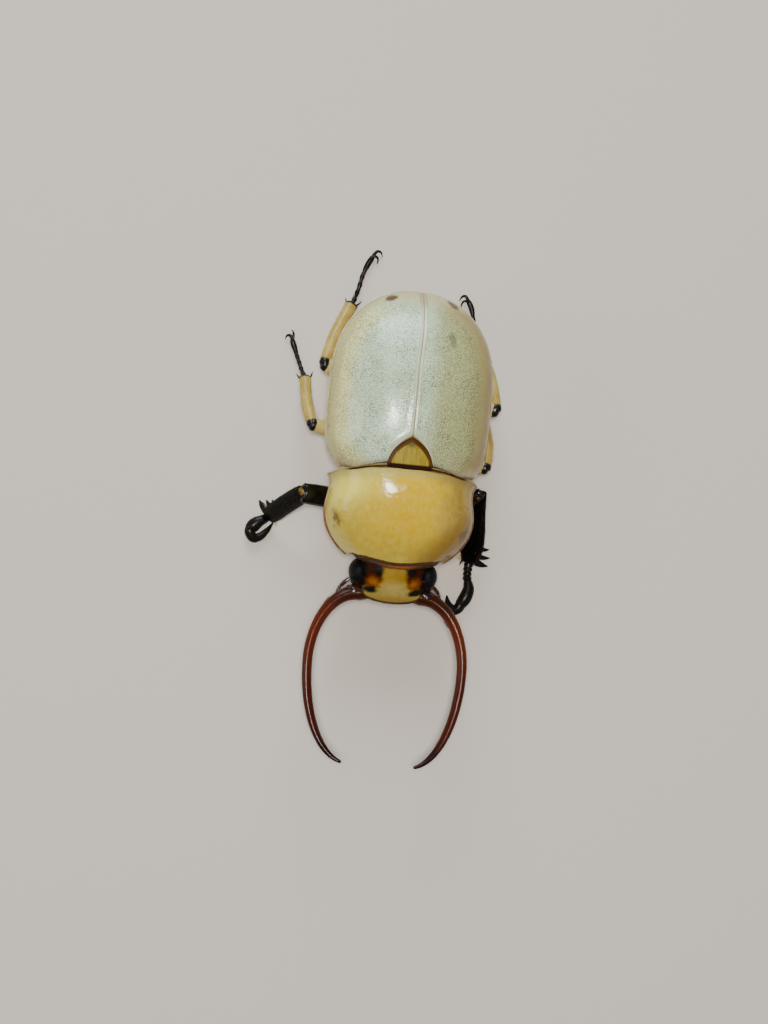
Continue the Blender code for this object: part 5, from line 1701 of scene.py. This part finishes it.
legPlans = {
    # coxa ends, hip, knee, ankle, and the foot down to its claws, with the share of its short joints
    # wideAxis is the way in which the shin is wide, and bow how far it bends that way
    # each tooth has its place, reach, slant and width
    ("front", -1): {
        "coxa": [(-1.0, -4.0, 2.7), (-2.5, -3.25, 2.1)],
        "hip": (-2.9, -3.0, 2.05), "knee": (-8.05, -2.68, 5.0), "ankle": (-10.47, -4.86, 1.0),
        "toes": [(-10.85, -5.15, 0.66), (-11.48, -5.56, 0.50), (-11.98, -6.1, 0.46)], "shortShare": 0.22,
        "wideAxis": (-0.60, 0.80, 0.0), "bow": 0.05,
        "femur": [0.62, 0.82, 0.88, 0.90, 0.90, 0.86],
        "tibia": [0.76, 0.82, 0.84, 0.84, 0.84, 0.84, 0.82, 0.74],
        "teeth": [(0.72, 0.14, 0.0, 0.22), (0.84, 0.44, 0.0, 0.24), (0.97, 0.80, 0.12, 0.38)],
        "claws": [
            [(-11.95, -6.4, 0.48), (-11.6, -6.85, 0.42), (-11.0, -6.65, 0.34), (-10.5, -6.1, 0.28),
             (-10.1, -5.5, 0.22)],
            [(-12.0, -6.3, 0.42), (-12.05, -6.6, 0.34), (-11.85, -6.95, 0.2)],
        ],
    },
    ("front", 1): {
        "coxa": [(1.0, -4.6, 2.7), (2.3, -4.6, 1.95)],
        "hip": (2.7, -4.35, 1.95), "knee": (6.95, -1.25, 3.95), "ankle": (6.95, -7.05, 1.15),
        "toes": [(6.95, -7.7, 0.80), (7.00, -8.55, 0.55), (7.20, -9.4, 0.52), (7.02, -10.2, 0.54),
                 (6.66, -10.85, 0.52)], "shortShare": 0.42,
        "wideAxis": (1.0, 0.0, 0.05), "bow": 0.12,
        "femur": [0.45, 0.66, 0.80, 0.80, 0.66, 0.46],
        "tibia": [0.50, 0.54, 0.60, 0.70, 0.83, 0.94, 0.96, 0.74],
        "teeth": [(0.80, 0.50, 0.02, 0.24), (0.91, 0.80, 0.12, 0.26), (0.99, 0.86, 0.42, 0.34)],
        "claws": [
            [(6.46, -11.25, 0.48), (6.14, -11.42, 0.42), (5.78, -11.18, 0.34), (5.53, -10.75, 0.28),
             (5.43, -10.3, 0.22)],
            [(6.66, -11.2, 0.42), (6.46, -11.45, 0.34), (6.16, -11.55, 0.2)],
        ],
    },
    ("middle", -1): {
        "coxa": [(-0.9, 1.9, 2.6), (-2.0, 2.2, 2.05)],
        "hip": (-2.4, 2.25, 2.0), "knee": (-7.85, 3.1, 4.1), "ankle": (-8.55, 7.05, 1.0),
        "toes": [(-8.8, 7.55, 0.62), (-9.2, 8.5, 0.34), (-9.6, 9.5, 0.23), (-9.9, 10.2, 0.25)],
        "wideAxis": (1.0, 0.15, 0.0), "bow": -0.15,
        "claws": [
            [(-9.95, 10.35, 0.32), (-10.15, 10.6, 0.34), (-10.4, 10.55, 0.28), (-10.5, 10.25, 0.15)],
            [(-9.85, 10.3, 0.32), (-9.85, 10.7, 0.34), (-9.9, 10.95, 0.24), (-10.05, 11.1, 0.12)],
        ],
    },
    ("middle", 1): {
        "coxa": [(0.9, 1.9, 2.6), (1.95, 2.1, 2.0)],
        "hip": (2.35, 2.1, 2.0), "knee": (7.2, 0.85, 3.8), "ankle": (6.88, 5.3, 1.0),
        "toes": [(6.6, 5.85, 0.62), (6.4, 6.8, 0.34), (6.15, 7.8, 0.23), (5.95, 8.5, 0.25)],
        "wideAxis": (1.0, 0.0, 0.0), "bow": 0.3,
        "claws": [
            [(5.9, 8.65, 0.32), (5.7, 8.95, 0.34), (5.4, 8.95, 0.28), (5.25, 8.65, 0.15)],
            [(6.0, 8.65, 0.32), (6.05, 9.05, 0.34), (5.95, 9.3, 0.24), (5.8, 9.45, 0.12)],
        ],
    },
    ("hind", -1): {
        "coxa": [(-1.2, 5.5, 2.55), (-4.3, 5.8, 3.0)],
        "hip": (-2.2, 6.55, 1.75), "knee": (-7.25, 8.3, 3.5), "ankle": (-5.25, 13.65, 1.0),
        "toes": [(-5.0, 14.2, 0.64), (-4.7, 15.15, 0.38), (-4.45, 16.3, 0.27), (-4.1, 17.3, 0.23),
                 (-3.75, 17.95, 0.25)],
        "wideAxis": (1.0, 0.4, 0.0), "bow": -0.15,
        "claws": [
            [(-3.7, 18.1, 0.32), (-3.4, 18.5, 0.34), (-3.05, 18.45, 0.28), (-2.9, 18.1, 0.15)],
            [(-3.75, 18.0, 0.32), (-3.4, 18.05, 0.34), (-3.25, 17.75, 0.26), (-3.3, 17.45, 0.12)],
        ],
    },
    ("hind", 1): {
        "coxa": [(1.2, 5.5, 2.55), (4.3, 5.8, 3.0)],
        "hip": (2.2, 6.35, 1.75), "knee": (7.62, 5.85, 3.6), "ankle": (5.9, 11.3, 1.0),
        "toes": [(5.7, 11.9, 0.64), (5.55, 12.8, 0.38), (5.4, 13.7, 0.27), (5.2, 14.5, 0.23),
                 (4.9, 15.05, 0.25)],
        "wideAxis": (1.0, 0.3, 0.0), "bow": 0.25,
        "claws": [
            [(4.8, 15.2, 0.32), (4.55, 15.5, 0.34), (4.25, 15.4, 0.28), (4.1, 15.05, 0.15)],
            [(4.8, 15.1, 0.32), (4.45, 15.05, 0.34), (4.3, 14.75, 0.26), (4.3, 14.45, 0.12)],
        ],
    },
}

legBuild = {
    # half widths along each limb, and how flat it is
    "front": {
        "coxa": ([0.70, 0.95, 0.90, 0.66], 1.0),
        "femur": (None, 0.62),
        "tibia": (None, 0.46),
        "femurEnd": 0.22, "tibiaEnd": 0.3,
        "toe": 0.38, "lastToe": 0.58, "claw": 0.46,
    },
    "middle": {
        "coxa": ([0.66, 0.90, 0.85, 0.62], 0.95),
        "femur": ([0.40, 0.62, 0.74, 0.74, 0.64, 0.52], 0.76),
        "tibia": ([0.41, 0.47, 0.48, 0.47, 0.48, 0.50], 0.90),
        "femurEnd": 0.5, "tibiaEnd": 0.35,
        "toe": 0.20, "lastToe": 0.25, "claw": 0.15, "shortShare": 0.62,
    },
    "hind": {
        "coxa": ([0.56, 0.75, 0.72, 0.52], 1.1),
        "femur": ([0.45, 0.80, 0.98, 0.95, 0.78, 0.60], 0.66),
        "tibia": ([0.46, 0.53, 0.54, 0.53, 0.53, 0.56], 0.90),
        "femurEnd": 0.5, "tibiaEnd": 0.35,
        "toe": 0.21, "lastToe": 0.25, "claw": 0.15, "shortShare": 0.62,
    },
}

legDetails = {
    "trochanter": [0.36, 0.50, 0.56, 0.42],
    "spurs": [(-0.5, 0.75), (0.5, 0.90)],  # place across the tibia's end and length, on the pale legs
    "crownSpines": 11,
    "shortToe": (0.50, 0.66, 0.84, 1.02, 0.98),
    "firstToe": 1.06,
    "longToe": (0.50, 0.72, 0.88, 0.98, 1.0, 0.86),
    "claw": (1.0, 1.0, 0.92, 0.76, 0.52, 0.2),
    "secondClaw": 0.8,
    "soleGap": 0.012,  # from the floor
}


def limbWidths(pair, side, part):
    return legPlans[(pair, side)].get(part) or legBuild[pair][part][0]


def pathSpot(path, share):
    # the place at a share of the path's length
    left = share * sum((b - a).length for a, b in zip(path, path[1:]))
    for a, b in zip(path, path[1:]):
        step = (b - a).length
        if left <= step:
            return a.lerp(b, left / step)
        left -= step
    return path[-1].copy()


def stretchOf(path, start, end, steps):
    return [pathSpot(path, start + (end - start) * k / steps) for k in range(steps + 1)]


def thorn(root, way, width, bend=Vector((0, 0, 0)), flat=0.7, sides=10):
    path = [root + way * k / 10 + bend * 4 * (k / 10) * (1 - k / 10) for k in range(11)]
    widths = [width, width * 0.9, width * 0.62, width * 0.12]
    return limb("thorn", path, widths, flat, sides, (0.3, 1.0))


def foreThorns(teeth, path, widths, across, run):
    # the teeth along the outer edge, and the spur at the inner corner
    made = []
    for share, reach, slant, wide in teeth:
        root = pathSpot(path, share) + across * (blendList(widths, share) - 0.40)
        made.append(thorn(root, across * (0.40 + reach) + run * slant, wide, run * 0.10))
    root = pathSpot(path, 0.97) - across * 0.45
    made.append(thorn(root, run * 0.75 - across * 0.35, 0.11, across * -0.05, sides=8))
    return made


def paleThorns(path, widths, across, run):
    # two spurs, and the crown of short stout spines round the end
    made = []
    for where, length in legDetails["spurs"]:
        aside = across * where
        root = path[-1] + aside * 0.62 - run * 0.15
        made.append(thorn(root, run * length + aside * 0.85, 0.085, aside * 0.06, sides=8))
    up = across.cross(run)
    count = legDetails["crownSpines"]
    for k in range(count):
        turn = 2 * math.pi * (k + 0.5) / count
        out = across * math.cos(turn) + up * math.sin(turn)
        root = pathSpot(path, 0.985) + out * blendList(widths, 0.985) * 0.82
        made.append(thorn(root, out * 0.08 + run * 0.24, 0.045, flat=1.0, sides=6))
    return made


def shortToes(path, short, size):
    # four short joints, each with a pair of bristles below its end
    made = []
    for k in range(4):
        stretch = stretchOf(path, short * k / 4, short * (k + 1) / 4, 8)
        wide = size * (legDetails["firstToe"] if k == 0 else 1)
        made.append(limb("toe", stretch, [wide * s for s in legDetails["shortToe"]], 0.9, 16, (0.4, 0.35)))
        out = (stretch[-1] - stretch[-2]).normalized()
        aside = out.cross(Vector((0, 0, 1))).normalized()
        for way in (aside * -1, aside):
            root = stretch[-1] + way * wide * 0.6 - Vector((0, 0, wide * 0.4))
            made.append(thorn(root, out * wide * 1.5 + way * wide * 0.5, wide * 0.12, flat=1.0, sides=5))
    return made


def makeFoot(plan, build, path):
    short = plan.get("shortShare") or build["shortShare"]
    joints = shortToes(path, short, build["toe"])
    widths = [build["lastToe"] * s for s in legDetails["longToe"]]
    joints.append(limb("toe", stretchOf(path, short, 1, 14), widths, 0.92, 20, (0.4, 0.5)))
    root = path[-1].lerp(path[-2], 0.6)
    for points, share in zip(plan["claws"], (1.0, legDetails["secondClaw"])):
        widths = [build["claw"] * share * s for s in legDetails["claw"]]
        joints.append(limb("claw", smoothPath([root] + points, 8), widths, 0.9, 14, (0.4, 1.0)))
    foot = join(joints, "foot")
    relief(foot, lambda co: (0, 0, max(0.0, legDetails["soleGap"] - co.z)))  # flat on the floor
    return foot


def makeLeg(pair, side):
    plan, build = legPlans[(pair, side)], legBuild[pair]
    label = pair + "_{}_" + sideNames[side]
    hip, knee, ankle = Vector(plan["hip"]), Vector(plan["knee"]), Vector(plan["ankle"])
    near, far = (Vector(spot) for spot in plan["coxa"])
    fore = pair == "front"

    widths, flat = build["coxa"]
    coxa = limb("coxa", smoothPath([near, near.lerp(far, 0.5), far], 6), widths, flat, 28, (0.7, 0.6))
    place(coxa, label.format("coxa_ball"), belly, [label.format("coxa")])
    path = smoothPath([far.lerp(hip, -0.4), far.lerp(hip, 0.5), hip.lerp(knee, 0.10)], 5)
    ring = limb("trochanter", path, legDetails["trochanter"], 0.85, 20)
    place(ring, label.format("trochanter"), black if fore else paleLeg)

    femurPath = smoothPath([hip, hip.lerp(knee, 0.5) + Vector((0, 0, -0.10)), knee], 14)
    widths = limbWidths(pair, side, "femur")
    femur = limb("femur", femurPath, widths, build["femur"][1], 32, (0.5, build["femurEnd"]))
    mark(femur, "reach", alongPath(femurPath))
    place(femur, label.format("thigh"), foreThigh if fore else paleLeg, [label.format("femur")])

    run = (ankle - knee).normalized()
    wideAxis = Vector(plan["wideAxis"])
    across = (wideAxis - wideAxis.dot(run) * run).normalized()
    widths = limbWidths(pair, side, "tibia")
    tibiaPath = smoothPath([knee, knee.lerp(ankle, 0.5) + plan["bow"] * across, ankle], 18)
    tibia = limb("tibia", tibiaPath, widths, build["tibia"][1], 32, (0.5, build["tibiaEnd"]))
    mark(tibia, "reach", alongPath(tibiaPath))
    path = [knee - run * 0.12, knee, knee + run * 0.30]
    ball = limb("knee", path, [0.26, min(widths[0], 0.5) * 0.86, 0.30], 0.9, 20)
    place(ball, label.format("knee_ball"), black)
    place(tibia, label.format("shin"), foreShin if fore else paleTibia, [label.format("tibia")])

    if fore:
        thorns = foreThorns(plan["teeth"], tibiaPath, widths, across, run)
    else:
        thorns = paleThorns(tibiaPath, widths, across, run)
    place(join(thorns, "thorns"), label.format("thorns"), black)
    foot = makeFoot(plan, build, smoothPath([ankle + run * 0.1] + plan["toes"], 10))
    place(foot, label.format("foot"), black, [label.format("tarsus")])
    return femurPath, tibiaPath, across


legLines = {(pair, side): makeLeg(pair, side) for pair in legBuild for side in sideNames}
print("legs are made")


# Bristles

bristles = {
    # how many, how long, and how far they stand out
    "thigh": (70, 0.42, 0.6),  # on each pale thigh
    "shin": (130, 0.42, 0.5),  # on each pale shin
    "foreShin": (60, 0.32, 0.5),
    "width": 0.035,
    "unwrapSize": 0.0015,
    "tuft": 44,  # in the golden tufts at the end of each fore shin
    "tuftLength": 0.42,
    "fringe": 70,  # below the shield's front rim
    "fringeLength": 0.28,
    "fringeWidth": 0.022,
}

bodyBristles = {
    # count, seed, section, from and to, length, lean to the rear, slot
    "chest_hairs": (900, 6, chestSection, -6.2, 0.2, 0.55, 0.5, "belly_pale"),
    "breast_hairs": (1500, 7, hindSection, 1.1, 6.6, 0.60, 0.5, "belly_pale"),
    "tail_hairs": (420, 8, hindSection, 12.7, 14.0, 0.40, 0.9, "leg_pale"),
}


def growHairs(name, count, seed, root, finish):
    # root(draw) gives (place, direction, length, width, place on the skin's unwrap)
    draw = random.Random(seed)
    roots = [root(draw) for k in range(count)]
    obj = hairs(name, [r[:4] for r in roots], seed)
    layer = obj.data.uv_layers.new(name="OFBake")
    corners = len(obj.data.loops) // count
    size = bristles["unwrapSize"]
    for k, (u, v) in enumerate(r[4] for r in roots):
        for m in range(corners):
            turn = 2 * math.pi * m / corners
            layer.data[k * corners + m].uv = (u + size * math.cos(turn), v + size * math.sin(turn))
    place(obj, name, finish)


def limbHairs(path, widths, flat, across, length, spread):
    run = (path[-1] - path[0]).normalized()
    up = across.cross(run)

    def root(draw):
        share = draw.uniform(0.08, 0.95)
        turn = draw.uniform(0, 2 * math.pi)
        wide = blendList(widths, share) * 0.96
        out = across * math.cos(turn) + up * math.sin(turn)
        spot = pathSpot(path, share) + across * math.cos(turn) * wide + up * math.sin(turn) * wide * flat
        way = run + out * draw.uniform(0.3, 0.3 + spread)
        size = length * draw.uniform(0.6, 1.2)
        return spot, way, size, bristles["width"], (0.05 + 0.9 * share, 0.05 + 0.9 * turn / (2 * math.pi))

    return root


def bodyHairs(sectionAt, start, end, length, tilt):
    # sectionAt gives the body's half width, margin, rise and drop; hairs grow on the lower half
    def root(draw):
        y = draw.uniform(start, end)
        turn = draw.uniform(-math.pi * 0.97, -math.pi * 0.03)
        wide, margin, rise, drop = sectionAt(y)
        bend = 2 / trunk["bellyRound"]
        spot = (wide * power(math.cos(turn), bend), y, margin + drop * power(math.sin(turn), bend))
        out = Vector((math.cos(turn) / wide, 0, math.sin(turn) / drop)).normalized()
        way = out + Vector((draw.uniform(-0.3, 0.3), tilt + draw.uniform(-0.2, 0.2), 0))
        size = length * draw.uniform(0.6, 1.2)
        unwrap = (0.5 + 0.45 * turn / math.pi, 0.05 + 0.9 * (y - start) / (end - start))
        return spot, way, size, bristles["width"], unwrap

    return root


def tuftHairs(tufts, across, run):
    def root(draw):
        corner, out = draw.choice(tufts)
        spot = corner - run * draw.uniform(0.0, 0.4) - across * out * draw.uniform(-0.05, 0.15)
        way = run * draw.uniform(0.3, 1.0) + across * out * draw.uniform(0.4, 1.2)
        way += Vector((0, 0, draw.uniform(0.0, 0.6)))
        size = bristles["tuftLength"] * draw.uniform(0.6, 1.3)
        return spot, way, size, bristles["width"], (draw.uniform(0.1, 0.9), draw.uniform(0.1, 0.9))

    return root


def fringeRoot(draw):
    across = draw.uniform(-0.97, 0.97)
    spot = pronotumPoint(1.0, across) + Vector((0, 0.12, -0.36))
    way = Vector((0.35 * across + draw.uniform(-0.4, 0.4), -1, -0.45 + draw.uniform(-0.3, 0.2)))
    size = bristles["fringeLength"] * draw.uniform(0.6, 1.2)
    return spot, way, size, bristles["fringeWidth"], (0.5 + 0.45 * across, 0.5)


def legHairs(pair, side, femurPath, tibiaPath, across):
    build = legBuild[pair]
    name = pair + "_{}_" + sideNames[side]
    seed = 10 * list(legBuild).index(pair) + side
    widths = limbWidths(pair, side, "tibia")
    if pair == "front":
        count, length, spread = bristles["foreShin"]
        root = limbHairs(tibiaPath, widths, build["tibia"][1], across, length, spread)
        growHairs(name.format("shin_hairs"), count, seed, root, darkHair)
        edge = across * blendList(widths, 0.95) * 0.9
        tufts = [(pathSpot(tibiaPath, 0.97) - edge, -1)]
        if side < 0:
            tufts.append((pathSpot(tibiaPath, 0.94) + edge, 1))  # between its teeth
        root = tuftHairs(tufts, across, (tibiaPath[-1] - tibiaPath[0]).normalized())
        growHairs(name.format("shin_tuft"), bristles["tuft"], seed + 50, root, goldHair)
        return
    rearwards = Vector((0, 1, 0))
    run = (femurPath[-1] - femurPath[0]).normalized()
    femurAcross = (rearwards - rearwards.dot(run) * run).normalized()
    count, length, spread = bristles["thigh"]
    root = limbHairs(femurPath, *build["femur"], femurAcross, length, spread)
    growHairs(name.format("thigh_hairs"), count, seed + 100, root, goldHair)
    count, length, spread = bristles["shin"]
    root = limbHairs(tibiaPath, *build["tibia"], across, length, spread)
    growHairs(name.format("shin_hairs"), count, seed + 200, root, goldHair)


for (pair, side), lines in legLines.items():
    legHairs(pair, side, *lines)
growHairs("shield_fringe", bristles["fringe"], 5, fringeRoot, goldHair)
for name, (count, seed, sectionAt, start, end, length, tilt, slotName) in bodyBristles.items():
    growHairs(name, count, seed, bodyHairs(sectionAt, start, end, length, tilt), goldHair)
print("bristles are made")


for profile in ovals.values():
    bpy.data.objects.remove(profile, do_unlink=True)
